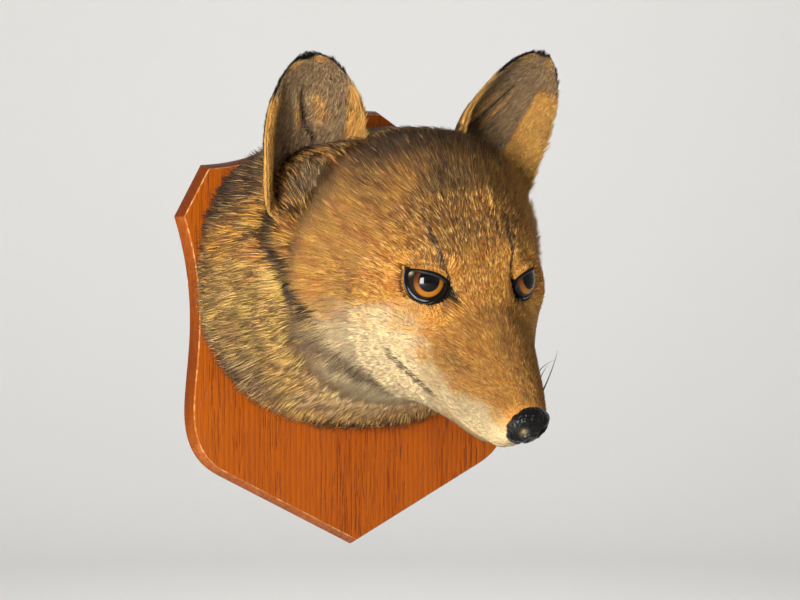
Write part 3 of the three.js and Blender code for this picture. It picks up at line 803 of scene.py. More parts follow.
def body_mesh():
    angle = round_places()
    along, grid, point = body_grid(ring_places(), angle)
    warm, cool = body_markings(point, along[:, None], angle[None, :] + 0 * along[:, None], grid)
    made = made_mesh("skin", tube_points(grid), tube_triangles(*grid.shape[:2])[:, ::-1])
    add_skin_layers(made, warm, cool, body_uv(along[:, None], angle[None, :]))
    seam_of_unwrap(made)
    return made


def seam_of_unwrap(made):
    """Faces that cross the ring's start reach past the unwrap's right edge instead of back across it."""
    layer = made.data.uv_layers["OFBake"]
    corners = read(layer.uv, "vector", 2).reshape(-1, 3, 2)
    crossing = np.ptp(corners[..., 0], axis=1) > 0.5
    low = corners[..., 0] < 0.5
    corners[..., 0] += np.where(crossing[:, None] & low, BODY_PATCH[2], 0)
    layer.uv.foreach_set("vector", corners.ravel())


def add_skin_layers(made, warm, cool, uv):
    """Markings, shade and unwrap, on face corners so that they last through a union."""
    add_colours(made, "warm", tube_values(warm), "CORNER")
    add_colours(made, "cool", tube_values(cool), "CORNER")
    add_colours(made, "strand", np.tile(SKIN_STRAND, (len(made.data.vertices), 1)), "CORNER")
    add_uv(made, tube_values(uv))


def ear_mesh(side):
    """One ear's skin as a closed shell: its front and back meet at the edges."""
    across, rows = 44, 58
    front = np.linspace(-1, 1, across + 1)[:-1]
    back = np.linspace(1, -1, across + 1)[:-1]
    u = np.concatenate([front, back])[None, :]
    behind = np.concatenate([0 * front, 0 * back + 1])[None, :]
    tall = np.linalg.norm(np.array(EAR["tip"]) - (np.array(EAR["inner"]) + np.array(EAR["outer"])) / 2)
    sink = EAR["sink"] / tall
    v = (-sink + (EAR["top"] - 0.012 + sink) * np.linspace(0, 1, rows) ** 0.9)[:, None]
    u, v, behind = np.broadcast_arrays(u, v, behind)
    place = ear_surface(side, u, v, behind)
    warm, cool = ear_markings(u, v, behind, place)
    uv = np.where(behind[..., None] > 0, ear_uv(side, 1, u, v), ear_uv(side, 0, u, v))
    made = made_mesh("ear", tube_points(place), tube_triangles(*u.shape))
    add_skin_layers(made, warm, cool, uv)
    outward(made)
    return made


def joined(body, other):
    """Unites two closed meshes and eases the line where they meet."""
    old = KDTree(len(body.data.vertices) + len(other.data.vertices))
    for source, start in ((body, 0), (other, len(body.data.vertices))):
        for i, vertex in enumerate(source.data.vertices):
            old.insert(vertex.co, start + i)
    old.balance()
    alone(body)
    cut = body.modifiers.new("join", "BOOLEAN")
    cut.operation, cut.solver, cut.object = "UNION", "MANIFOLD", other
    bpy.ops.object.modifier_apply(modifier=cut.name)
    bpy.data.objects.remove(other)
    if len(body.data.polygons) < LEAST_FACES:
        raise RuntimeError("the union left no skin")
    seam = [v.co.copy() for v in body.data.vertices if old.find(v.co)[2] > 1e-6]
    if not seam:
        return
    line = KDTree(len(seam))
    for i, co in enumerate(seam):
        line.insert(co, i)
    line.balance()
    group = body.vertex_groups.new(name="seam")
    for v in body.data.vertices:
        far = line.find(v.co)[2]
        if far < SEAM_REACH:
            group.add([v.index], 1 - far / SEAM_REACH, "REPLACE")
    ease = body.modifiers.new("ease", "SMOOTH")
    ease.factor, ease.iterations, ease.vertex_group = 0.5, 12, "seam"
    bpy.ops.object.modifier_apply(modifier=ease.name)
    body.vertex_groups.clear()


# ---- Tufts ----


class Bed:
    """A grid of skin that hair grows from. Rows run along the body or up an ear, and columns across."""

    def __init__(self, rows, columns, place, uv, warm, cool, wrap):
        self.rows, self.columns, self.wrap = rows, columns, wrap
        self.place, self.uv = place, uv
        self.warm, self.cool = warm, cool
        by_row, by_column = np.gradient(place, rows, axis=0), np.gradient(place, columns, axis=1)
        self.row_speed = np.maximum(np.linalg.norm(by_row, axis=-1), 1e-3)
        self.column_speed = np.maximum(np.linalg.norm(by_column, axis=-1), 1e-3)
        self.by_row, self.by_column = by_row, by_column
        self.normal = unit(np.cross(by_row, by_column))

    def at(self, values, row, column):
        """Values between the grid's points."""
        if self.wrap:
            span = 2 * math.pi
            column = self.columns[0] + (column - self.columns[0]) % span
        i = np.clip(np.interp(row, self.rows, np.arange(len(self.rows))), 0, len(self.rows) - 1.001)
        j = np.clip(
            np.interp(column, self.columns, np.arange(len(self.columns))), 0, len(self.columns) - 1.001
        )
        a, b = i.astype(int), j.astype(int)
        s, t = i - a, j - b
        if values.ndim == 3:
            s, t = s[..., None], t[..., None]
        near_row = values[a, b] * (1 - t) + values[a, b + 1] * t
        far_row = values[a + 1, b] * (1 - t) + values[a + 1, b + 1] * t
        return near_row * (1 - s) + far_row * s

    def area(self):
        """The area round each of the grid's points, in square millimetres."""
        row_step, column_step = np.gradient(self.rows)[:, None], np.gradient(self.columns)[None, :]
        cell = self.row_speed * self.column_speed * row_step * column_step
        if self.wrap:
            cell[:, -1] = 0
        return cell

    def surface(self, row, column):
        """The place on the bed, or straight on from its edge for a hair that grows past it."""
        over = row - np.clip(row, self.rows[0], self.rows[-1])
        place = self.at(self.place, row, column) + self.at(self.by_row, row, column) * over[..., None]
        if not self.wrap:
            over = column - np.clip(column, self.columns[0], self.columns[-1])
            place = place + self.at(self.by_column, row, column) * over[..., None]
        return place


def body_bed():
    """The bed over head and neck. At the shield it turns out over the board, for the hair that lies there."""
    angle = np.radians(np.arange(-180, 180.1, 1.5))
    along, place, point = body_grid(np.linspace(*ENDS, 190), angle)
    apron = ENDS[0] - np.array(APRON)
    along = np.concatenate([apron, along[:-2]])
    place, point = (np.concatenate([on[:1].repeat(len(apron), 0), on[:-2]]) for on in (place, point))
    row, column = np.broadcast_arrays(along[:, None], angle[None, :])
    inside = np.maximum(row, ENDS[0])
    warm, cool = body_markings(point, inside, column, place)
    middle = np.array([0, 0, 20.0])
    splay = unit((place - middle) * np.array([1, 0, 1]))
    past = np.maximum(ENDS[0] - row, 0)
    place = place + splay * (past * SPLAY)[..., None]
    place[..., 1] = np.minimum(place[..., 1], -(SHIELD["thick"] + OFF_BOARD["bed"]))
    bed = Bed(along, angle, place, body_uv(inside, column), warm, cool, True)
    bed.normal = np.where(past[..., None] > 0.02, np.array([0.0, -1.0, 0.0]), bed.normal)
    bed.point, bed.row, bed.column = point, row, column
    return bed


def ear_bed(side, behind):
    """The bed over the inside or the back of an ear."""
    v = np.linspace(0.0 if behind else -0.25, EAR["top"] - 0.02, 70)
    u = np.linspace(-0.99, 0.99, 60)
    row, column = np.broadcast_arrays(v[:, None], u[None, :])
    place = ear_surface(side, column, row, float(behind))
    warm, cool = ear_markings(column, row, float(behind) + 0 * column, place)
    bed = Bed(v, u, place, ear_uv(side, behind, column, row), warm, cool, False)
    if side * (1 if behind else -1) < 0:
        bed.normal = -bed.normal
    bed.row, bed.column = row, column
    return bed


def grow(bed, rng, *, count, weight, length, width, rise, lean, mess, clump, gather, rings):
    """Spreads roots over a bed by weight, each with a tapering blade that follows the bed and lifts away.

    length, width and rise are grids in millimetres. lean is the grid of angles by which the hair turns from
    the way back along the rows towards larger columns. Blades near each other gather into locks of clump
    millimetres. Returns the blades' points, and what is needed to colour them.
    """
    area = bed.area()
    cell = area * weight
    cell_size = (area * (weight > 0)).sum() / max((weight > 0).sum(), 1)
    chance = np.cumsum(cell.ravel())
    spot = np.searchsorted(chance, rng.uniform(0, chance[-1], count))
    i, j = np.unravel_index(spot, cell.shape)
    row = np.interp(i + rng.uniform(-0.5, 0.5, count), np.arange(len(bed.rows)), bed.rows)
    column = np.interp(j + rng.uniform(-0.5, 0.5, count), np.arange(len(bed.columns)), bed.columns)

    root = bed.at(bed.place, row, column)
    leaders = min(max(int((cell > 0).sum() * cell_size / clump**2), 8), count // 3)
    tree = KDTree(leaders)
    for k in range(leaders):
        tree.insert(root[k], k)
    tree.balance()
    lock = np.array([tree.find(p)[1] for p in root])
    lock_turn, lock_lift = rng.normal(0, 1, leaders), rng.normal(0, 1, leaders)
    lock_tint = rng.uniform(0, 1, leaders)

    stray = 0.6 * lock_turn[lock] + 0.7 * rng.normal(0, 1, count)
    turn = bed.at(lean, row, column) + np.radians(mess) * stray
    turn = turn + np.radians(mess) * 0.8 * ripple(root, 17, 11)
    long = bed.at(length, row, column) * rng.uniform(0.72, 1.15, count) * (1 + 0.08 * lock_lift[lock])
    lifted = rng.normal(1, 0.18, count) + 0.10 * lock_lift[lock]
    high = bed.at(rise, row, column) * np.clip(lifted, 0.4, 1.4)
    wide = bed.at(width, row, column) * rng.uniform(0.75, 1.25, count)
    if bed.wrap:
        room = np.maximum(row - ENDS[0], 0) * bed.at(bed.row_speed, np.full(count, ENDS[0] + 0.01), column)
        room = room + (np.minimum(row, ENDS[0]) - bed.rows[0]) * SPLAY * SPLAY_ROOM
        long = np.minimum(long, room * rng.uniform(0.6, 0.95, count))
    row_step = -np.cos(turn) / bed.at(bed.row_speed, row, column)
    column_step = np.sin(turn) / bed.at(bed.column_speed, row, column)
    curl = rng.normal(0, 0.12, count)

    shares = np.linspace(0, 1, rings + 1)
    sunk = np.minimum(0.25, 0.02 * long)
    path = []
    for t in shares:
        far = long * t
        r = row + row_step * far
        c = column + column_step * far * (1 + curl * t)
        lift = high * (1 - (1 - t) ** 1.6) - sunk * (1 - t)
        path.append(bed.surface(r, c) + unit(bed.at(bed.normal, r, c)) * lift[:, None])
    path = np.stack(path, 1)
    pull = gather * shares[None, :, None] ** 1.5
    path = path + (path[lock] - path - 0.35 * (root[lock] - root)[:, None, :]) * pull

    tangent = unit(np.gradient(path, axis=1))
    above = unit(bed.at(bed.normal, row, column))[:, None, :]
    across = unit(np.cross(tangent, above))
    above = np.cross(across, tangent)
    taper = [1.0 if rings == 1 else 0.75] + [1.0 - 0.55 * (t - shares[1]) for t in shares[1:-1]]
    half = (wide[:, None, None] / 2) * np.array(taper)[None, :, None]
    ring = np.stack(
        [
            path[:, :-1] - across[:, :-1] * half,
            path[:, :-1] + across[:, :-1] * half,
            path[:, :-1] + above[:, :-1] * half * 0.8,
        ],
        2,
    )
    points = np.concatenate([ring.reshape(count, -1, 3), path[:, -1:]], 1)
    points[..., 1] = np.minimum(points[..., 1], -(SHIELD["thick"] + OFF_BOARD["hair"]))
    share = np.concatenate([np.repeat(shares[:-1], 3), [1.0]])
    return {
        "points": points,
        "share": share,
        "warm": bed.at(bed.warm, row, column),
        "cool": bed.at(bed.cool, row, column),
        "uv": bed.at(bed.uv, row, column) if not bed.wrap else body_uv(np.maximum(row, 0), column),
        "tint": rng.uniform(0, 1, count),
        "lock": lock_tint[lock],
    }


def blade_faces(rings):
    """One blade's triangles: three sides for each length, a point, and a closed root."""
    faces = [(0, 2, 1)]
    for k in range(rings - 1):
        for a, b in ((0, 1), (1, 2), (2, 0)):
            low, high = 3 * k, 3 * k + 3
            faces += [(low + a, low + b, high + b), (low + a, high + b, high + a)]
    last, tip = 3 * (rings - 1), 3 * rings
    faces += [(last + a, last + b, tip) for a, b in ((0, 1), (1, 2), (2, 0))]
    return np.array(faces)


def fur_piece(name, blades, keep, rings):
    """Joins the blades that keep picks into one mesh, with their markings and their places in the unwrap."""
    points = blades["points"][keep]
    count, per = points.shape[:2]
    faces = (blade_faces(rings)[None] + (np.arange(count) * per)[:, None, None]).reshape(-1, 3)
    made = made_mesh(name, points.reshape(-1, 3), faces)
    for layer in ("warm", "cool"):
        add_colours(made, layer, np.repeat(blades[layer][keep], per, 0))
    strand = np.ones((count, per, 4))
    strand[..., 0] = blades["share"][None, :]
    strand[..., 1] = blades["tint"][keep][:, None]
    strand[..., 2] = blades["lock"][keep][:, None]
    add_colours(made, "strand", strand.reshape(-1, 4))
    side = np.concatenate([np.tile([-0.5, 0.5, 0.0], rings), [0.0]])
    patch = TUFT_PATCH * np.stack([side, blades["share"] - 0.5], -1)
    uv = blades["uv"][keep][:, None, :] + patch[None]
    add_uv(made, np.clip(uv.reshape(-1, 2), 0, 1))
    return made


# ---- Shader groups ----


class Wiring:
    """Adds nodes to a tree and links them."""

    def __init__(self, tree):
        self.tree = tree

    def add(self, kind, **settings):
        node = self.tree.nodes.new(kind)
        for key, value in settings.items():
            setattr(node, key, value)
        return node

    def feed(self, socket, value):
        if isinstance(value, bpy.types.NodeSocket):
            self.tree.links.new(value, socket)
        else:
            socket.default_value = value

    def fill(self, node, **values):
        """Sets or links a node's inputs, each named with _ for a space."""
        for label, value in values.items():
            self.feed(node.inputs[label.replace("_", " ")], value)

    def maths(self, operation, *values, clamp=False):
        node = self.add("ShaderNodeMath", operation=operation, use_clamp=clamp)
        for socket, value in zip(node.inputs, values):
            self.feed(socket, value)
        return node.outputs[0]

    def times(self, a, b, **options):
        return self.maths("MULTIPLY", a, b, **options)

    def plus(self, a, b, **options):
        return self.maths("ADD", a, b, **options)

    def minus(self, a, b):
        return self.maths("SUBTRACT", a, b)

    def mixed(self, factor, a, b, blend="MIX"):
        node = self.add("ShaderNodeMix", data_type="RGBA", blend_type=blend)
        for socket, value in ((node.inputs[0], factor), (node.inputs[6], a), (node.inputs[7], b)):
            self.feed(socket, value)
        return node.outputs[2]

    def mapped(self, value, low, high, to_low=0.0, to_high=1.0):
        node = self.add("ShaderNodeMapRange", interpolation_type="SMOOTHSTEP")
        for socket, given in zip(node.inputs, (value, low, high, to_low, to_high)):
            self.feed(socket, given)
        return node.outputs[0]

    def scaled(self, vector, scale):
        node = self.add("ShaderNodeMapping")
        self.fill(node, Vector=vector, Scale=scale)
        return node.outputs[0]

    def noise(self, vector, scale, detail=3.0, roughness=0.5, distortion=0.0):
        node = self.add("ShaderNodeTexNoise")
        self.fill(
            node, Vector=vector, Scale=scale, Detail=detail, Roughness=roughness, Distortion=distortion
        )
        return node.outputs[0]

    def split(self, colour):
        node = self.add("ShaderNodeSeparateColor")
        self.feed(node.inputs[0], colour)
        return node.outputs[0], node.outputs[1], node.outputs[2]

    def attribute(self, name):
        node = self.add("ShaderNodeAttribute", attribute_type="GEOMETRY", attribute_name=name)
        return node.outputs["Color"], node.outputs["Alpha"]


def shader_group(name, inputs, outputs):
    """A new node group with named sockets, and the wiring inside it."""
    tree = bpy.data.node_groups.new(name, "ShaderNodeTree")
    for label, kind, default in inputs:
        socket = tree.interface.new_socket(name=label, in_out="INPUT", socket_type="NodeSocket" + kind)
        if default is not None:
            socket.default_value = default
    for label, kind in outputs:
        tree.interface.new_socket(name=label, in_out="OUTPUT", socket_type="NodeSocket" + kind)
    net = Wiring(tree)
    net.given = net.add("NodeGroupInput").outputs
    net.result = net.add("NodeGroupOutput").inputs
    return net


HAIR_COLOURS = ("Gold", "Rust", "Cream", "Straw", "Grey", "Brown", "Black", "Bare")


def coat_markings_group():
    """Hair colour from the markings, with each strand its own tint and a root darkened as painted shade deep
    in the fur.
    """
    inputs = [
        ("Warm", "Color", None), ("Tips", "Float", 0.0), ("Cool", "Color", None),
        ("Bare Share", "Float", 0.0),
    ]
    inputs += [("Strand", "Color", None)] + [(name, "Color", None) for name in HAIR_COLOURS]
    inputs += [("Root Shade", "Float", 0.4), ("Variety", "Float", 0.5), ("Pale", "Float", 0.25)]
    net = shader_group("Coat markings", inputs, [("Color", "Color"), ("Roughness", "Float")])
    sockets = net.given
    rust, cream, straw = net.split(sockets["Warm"])
    grey, brown, black = net.split(sockets["Cool"])
    share, tint, lock = net.split(sockets["Strand"])
    pick = net.times(net.plus(net.times(tint, 0.8), net.times(lock, 0.2)), 0.45)
    high = net.plus(pick, 0.55)
    colour = sockets["Gold"]
    for mask, name in (
        (rust, "Rust"), (straw, "Straw"), (cream, "Cream"), (grey, "Grey"), (brown, "Brown")
    ):
        colour = net.mixed(net.mapped(mask, pick, high), colour, sockets[name])
    colour = net.mixed(net.times(net.mapped(tint, 0.74, 0.92), sockets["Pale"]), colour, sockets["Cream"])
    dark_tip = net.times(net.mapped(share, 0.45, 0.85), net.mapped(sockets["Tips"], pick, high))
    colour = net.mixed(dark_tip, colour, sockets["Black"])
    colour = net.mixed(net.mapped(black, pick, high), colour, sockets["Black"])
    colour = net.mixed(net.mapped(sockets["Bare Share"], 0.2, 0.8), colour, sockets["Bare"])
    level = net.plus(net.times(tint, 0.75), net.times(lock, 0.25))
    level = net.plus(net.times(net.minus(level, 0.5), sockets["Variety"]), 1.0)
    # Painted shade: each hair darkens towards its root, as if shaded by the fur above it.
    root = net.mapped(share, -0.1, 0.55, sockets["Root Shade"], 1.0)
    level = net.times(level, root)
    value = net.add("ShaderNodeHueSaturation")
    net.fill(value, Hue=net.plus(net.times(net.minus(lock, 0.5), 0.025), 0.5), Value=level, Color=colour)
    net.feed(net.result["Color"], value.outputs[0])
    net.feed(net.result["Roughness"], net.mapped(tint, 0.0, 1.0, 0.52, 0.72))
    return net.tree


def coat_relief_group():
    """Fine streaks along the lie of short hair, as height and as a shade."""
    inputs = [("UV", "Vector", None), ("Across", "Float", 520.0), ("Along", "Float", 70.0)]
    net = shader_group("Coat streaks", inputs, [("Height", "Float"), ("Shade", "Float")])
    sockets = net.given
    split = net.add("ShaderNodeSeparateXYZ")
    net.feed(split.inputs[0], sockets["UV"])
    both = net.add("ShaderNodeCombineXYZ")
    net.feed(both.inputs[0], net.times(split.outputs[0], sockets["Across"]))
    net.feed(both.inputs[1], net.times(split.outputs[1], sockets["Along"]))
    fine = net.noise(both.outputs[0], 1.0, 2.0, 0.6, 0.4)
    broad = net.noise(both.outputs[0], 0.3, 2.0, 0.5, 0.3)
    height = net.plus(net.times(fine, 0.7), net.times(broad, 0.3))
    net.feed(net.result["Height"], height)
    net.feed(net.result["Shade"], net.mapped(fine, 0.3, 0.7))
    return net.tree


def wood_grain_group():
    """Oak with its grain upright: growth bands, darker streaks and short open pores."""
    inputs = [
        ("Position", "Vector", None), ("Light", "Color", None), ("Deep", "Color", None),
        ("Pore", "Color", None),
    ]
    net = shader_group("Oak grain", inputs, [("Color", "Color"), ("Height", "Float"), ("Pores", "Float")])
    sockets = net.given
    stretched = net.scaled(sockets["Position"], (1.0, 1.0, 0.055))
    bend = net.noise(net.scaled(sockets["Position"], (1.0, 1.0, 0.35)), 9.0, 2.0, 0.5)
    rings = net.add("ShaderNodeTexWave", wave_type="BANDS", bands_direction="X", wave_profile="SAW")
    net.fill(rings, Vector=stretched, Scale=125.0, Distortion=4.0, Detail=3.0, Detail_Scale=1.2)
    streak = net.noise(stretched, 420.0, 4.0, 0.6)
    broad = net.noise(stretched, 70.0, 3.0, 0.5)
    figure = net.plus(net.times(rings.outputs["Fac"], 0.35), net.times(broad, 0.8))
    figure = net.plus(figure, net.times(net.minus(bend, 0.5), 0.5))
    colour = net.mixed(net.mapped(figure, 0.30, 0.95), sockets["Light"], sockets["Deep"])
    colour = net.mixed(net.mapped(streak, 0.50, 0.72, 0.0, 0.42), colour, sockets["Deep"])
    dashes = net.noise(net.scaled(sockets["Position"], (1.0, 1.0, 0.04)), 2500.0, 1.0, 0.4)
    patches = net.mapped(net.noise(stretched, 60.0, 2.0, 0.5), 0.42, 0.6)
    pores = net.times(net.mapped(dashes, 0.56, 0.66), net.plus(net.times(patches, 0.75), 0.25))
    colour = net.mixed(net.times(pores, 0.7), colour, sockets["Pore"])
    net.feed(net.result["Color"], colour)
    net.feed(net.result["Height"], net.minus(net.times(streak, 0.25), pores))
    net.feed(net.result["Pores"], pores)
    return net.tree


def wear_group():
    """Rubbed edges and dust, from a mask of how near the surface is to an edge. On the oak the mask also
    holds painted light on the sides that face down and left.
    """
    inputs = [
        ("Position", "Vector", None), ("Edge", "Float", 0.0), ("Color", "Color", None),
        ("Worn", "Color", None),
    ]
    inputs += [("Scale", "Float", 300.0)]
    net = shader_group("Edge wear", inputs, [("Color", "Color"), ("Mask", "Float")])
    sockets = net.given
    patch = net.noise(sockets["Position"], sockets["Scale"], 4.0, 0.6)
    mask = net.times(
        net.mapped(sockets["Edge"], 0.25, 0.9), net.mapped(patch, 0.42, 0.68, 0.1, 0.6), clamp=True
    )
    net.feed(net.result["Color"], net.mixed(mask, sockets["Color"], sockets["Worn"]))
    net.feed(net.result["Mask"], mask)
    return net.tree


def new_material(name, groups=()):
    """An empty material: its wiring, its shader, and a placed node for each group."""
    made = bpy.data.materials.new(name)
    made.use_nodes = True
    net = Wiring(made.node_tree)
    shader = made.node_tree.nodes["Principled BSDF"]
    nodes = []
    for tree in groups:
        node = net.add("ShaderNodeGroup")
        node.node_tree = bpy.data.node_groups[tree]
        nodes.append(node)
    return made, net, shader, nodes


def opaque(colour):
    return (*colour, 1.0)


def bump(net, shader, height, distance, strength=1.0):
    node = net.add("ShaderNodeBump")
    net.fill(node, Strength=strength, Distance=distance, Height=height)
    net.feed(shader.inputs["Normal"], node.outputs[0])


def coat_material(name, colours, *, strands, sheen, root, variety):
    """Hair where strands is True, and otherwise skin with short hair on it as streaks."""
    made, net, shader, nodes = new_material(name, ("Coat markings", "Coat streaks"))
    markings, streaks = nodes
    warm, tips = net.attribute("warm")
    cool, bare = net.attribute("cool")
    net.fill(markings, Warm=warm, Tips=tips, Cool=cool, Bare_Share=bare, Strand=net.attribute("strand")[0])
    # root sets how dark the painted shade at the hairs' roots is.
    net.fill(markings, Root_Shade=root, Variety=variety)
    net.fill(markings, **{label: opaque(colour) for label, colour in zip(HAIR_COLOURS, colours)})
    colour = markings.outputs["Color"]
    if strands:
        net.tree.nodes.remove(streaks)
    else:
        uv = net.add("ShaderNodeUVMap", uv_map="OFBake")
        net.feed(streaks.inputs["UV"], uv.outputs[0])
        shade = net.mapped(streaks.outputs["Shade"], 0.0, 1.0, 0.25, 0.0)
        colour = net.mixed(shade, colour, (0.3, 0.22, 0.15, 1.0), "MULTIPLY")
        bump(net, shader, streaks.outputs["Height"], 0.0001, 0.5)
    net.fill(shader, Base_Color=colour, Roughness=markings.outputs["Roughness"])
    net.fill(shader, Specular_IOR_Level=0.1 if strands else 0.02, Sheen_Weight=sheen, Sheen_Roughness=0.5)
    return made


def oak_material(finish):
    """Varnished oak. The attribute has the worn arris with painted light on the sides that face down and
    left, the sides darkened by painted shade, most where they face up, and the bare back.
    """
    made, net, shader, nodes = new_material("Varnished oak", ("Oak grain", "Edge wear"))
    grain, wear = nodes
    place = net.add("ShaderNodeTexCoord").outputs["Object"]
    edge = net.split(net.attribute("edge")[0])
    light, deep, pore = opaque(finish.oak_light), opaque(finish.oak_deep), opaque(finish.oak_pore)
    net.fill(grain, Light=light, Deep=deep, Pore=pore, Position=place)
    # Painted shade: edge[1] darkens the sides. edge[0] is the rubbed arris plus painted light on the sides
    # that face down and left.
    colour = net.mixed(net.times(edge[1], 0.75), grain.outputs["Color"], pore)
    colour = net.mixed(net.times(edge[2], 0.85), colour, (0.20, 0.12, 0.06, 1.0))
    net.fill(wear, Position=place, Edge=edge[0], Color=colour, Worn=opaque(finish.oak_worn_and_lit))
    net.feed(shader.inputs["Base Color"], wear.outputs["Color"])
    smear = net.mapped(net.noise(place, 60.0, 3.0, 0.6), 0.35, 0.7, 0.26, 0.42)
    dull = net.maths("MAXIMUM", smear, net.times(edge[2], 0.8))
    net.fill(shader, Roughness=net.plus(dull, net.times(grain.outputs["Pores"], 0.25), clamp=True))
    net.fill(
        shader, Coat_Weight=net.minus(0.12, net.times(edge[2], 0.12)), Coat_Roughness=0.22,
        Specular_IOR_Level=0.08,
    )
    bump(net, shader, grain.outputs["Height"], 0.00035, 0.7)
    return made


def leather_material(finish):
    """Pebbled black leather, with its rim worn and a plain plug in one nostril."""
    made, net, shader, nodes = new_material("Nose leather", ("Edge wear",))
    (wear,) = nodes
    place = net.add("ShaderNodeTexCoord").outputs["Object"]
    worn, plug, _ = net.split(net.attribute("worn")[0])
    cells = net.add("ShaderNodeTexVoronoi", feature="SMOOTH_F1")
    net.fill(cells, Vector=place, Scale=900.0)
    lumps = net.noise(place, 420.0, 3.0, 0.6)
    net.fill(wear, Position=place, Edge=worn, Scale=420.0)
    net.fill(wear, Color=opaque(finish.nose_black), Worn=(0.075, 0.07, 0.065, 1.0))
    tan = net.mixed(net.mapped(lumps, 0.3, 0.7), (0.36, 0.25, 0.13, 1.0), (0.52, 0.40, 0.24, 1.0))
    net.feed(shader.inputs["Base Color"], net.mixed(plug, wear.outputs["Color"], tan))
    rough = net.mapped(lumps, 0.35, 0.65, 0.11, 0.27)
    rough = net.plus(rough, net.times(wear.outputs["Mask"], 0.35))
    net.fill(shader, Roughness=net.maths("MAXIMUM", rough, net.times(plug, 0.9)), Specular_IOR_Level=0.14)
    height = net.plus(net.times(cells.outputs["Distance"], -0.6), net.times(lumps, 0.9))
    bump(net, shader, height, 0.0006, 0.8)
    return made


def eye_material(finish):
    """Painted iris behind polished glass, with painted light low on the iris and painted shade at its top.
    The attribute is the place across the eye, in shares of SIGHT.
    """
    made, net, shader, _ = new_material("Eye glass")
    colour, _ = net.attribute("sight")
    x, y, corner = net.split(colour)
    x, y = net.minus(x, 0.5), net.minus(y, 0.5)
    far = net.times(net.maths("SQRT", net.plus(net.times(x, x), net.times(y, y))), SIGHT)
    turn = net.maths("ARCTAN2", y, x)
    spokes = net.add("ShaderNodeCombineXYZ")
    for k, value in enumerate((net.maths("SINE", turn), net.maths("COSINE", turn), net.times(far, 0.05))):
        net.feed(spokes.inputs[k], value)
    fibre = net.noise(spokes.outputs[0], 14.0, 4.0, 0.65)
    # Painted light and shade: the iris is brighter towards its bottom and darker at its top, under the lid.
    painted_light_low = net.mapped(net.plus(net.times(y, -1.0), net.times(x, 0.5)), -0.25, 0.3)
    iris = net.mixed(painted_light_low, opaque(finish.iris_shade_and_fibre), opaque(finish.iris_painted_lit))
    iris = net.mixed(net.mapped(fibre, 0.35, 0.7, 0.35, 0.0), iris, opaque(finish.iris_shade_and_fibre))
    iris = net.mixed(
        net.mapped(far, EYE["iris"] - 0.7, EYE["iris"] + 0.2), iris, (0.010, 0.008, 0.007, 1.0)
    )
    up = net.minus(y, 0.032)
    pupil_far = net.maths("SQRT", net.plus(net.times(x, x), net.times(up, up)))
    pupil = net.mapped(net.times(pupil_far, SIGHT), EYE["pupil"] - 0.25, EYE["pupil"] + 0.25, 1.0, 0.0)
    seen = net.mixed(pupil, iris, (0.001, 0.001, 0.001, 1.0))
    seen = net.mixed(net.times(corner, 0.9), seen, (0.50, 0.36, 0.20, 1.0))
    net.fill(shader, Base_Color=seen, Roughness=0.3, Specular_IOR_Level=0.0)
    net.fill(shader, Coat_Weight=1.0, Coat_Roughness=0.012, Coat_IOR=1.36)
    return made


def lid_material():
    """Bare lid rims: black at the wet edge, blue-grey on the crest."""
    made, net, shader, _ = new_material("Lid rim")
    place = net.add("ShaderNodeTexCoord").outputs["Object"]
    wet, crest, _ = net.split(net.attribute("rim")[0])
    blotch = net.noise(place, 700.0, 3.0, 0.6)
    colour = net.mixed(net.mapped(blotch, 0.38, 0.62), (0.05, 0.054, 0.06, 1.0), (0.17, 0.185, 0.19, 1.0))
    colour = net.mixed(net.mapped(crest, 0.05, 0.5), (0.012, 0.011, 0.011, 1.0), colour)
    net.fill(
        shader, Base_Color=colour, Roughness=net.mapped(wet, 0.0, 1.0, 0.7, 0.35), Specular_IOR_Level=0.25
    )
    bump(net, shader, blotch, 0.0002, 0.5)
    return made


def whisker_material():
    made, net, shader, _ = new_material("Whisker")
    share = net.split(net.attribute("strand")[0])[0]
    colour = net.mixed(share, (0.006, 0.005, 0.004, 1.0), (0.02, 0.015, 0.01, 1.0))
    net.fill(shader, Base_Color=colour, Roughness=net.mapped(share, 0.0, 1.0, 0.3, 0.45))
    return made


def steel_material():
    made, net, shader, _ = new_material("Screw steel")
    place = net.add("ShaderNodeTexCoord").outputs["Object"]
    tarnish = net.noise(place, 500.0, 4.0, 0.6)
    colour = net.mixed(net.mapped(tarnish, 0.45, 0.7), (0.50, 0.48, 0.45, 1.0), (0.24, 0.17, 0.11, 1.0))
    net.fill(shader, Base_Color=colour, Roughness=net.mapped(tarnish, 0.35, 0.7, 0.25, 0.6), Metallic=1.0)
    bump(net, shader, net.noise(net.scaled(place, (1.0, 1.0, 0.2)), 2500.0, 2.0), 0.0001, 0.4)
    return made


def plain_material(name, colour):
    made, net, shader, _ = new_material(name)
    net.fill(shader, Base_Color=opaque(colour), Roughness=0.85, Specular_IOR_Level=0.2)
    return made


# ---- Settings ----


def colour_setting(name, description, default):
    return FloatVectorProperty(
        name=name, description=description, subtype="COLOR", size=3, min=0, max=1, default=default
    )


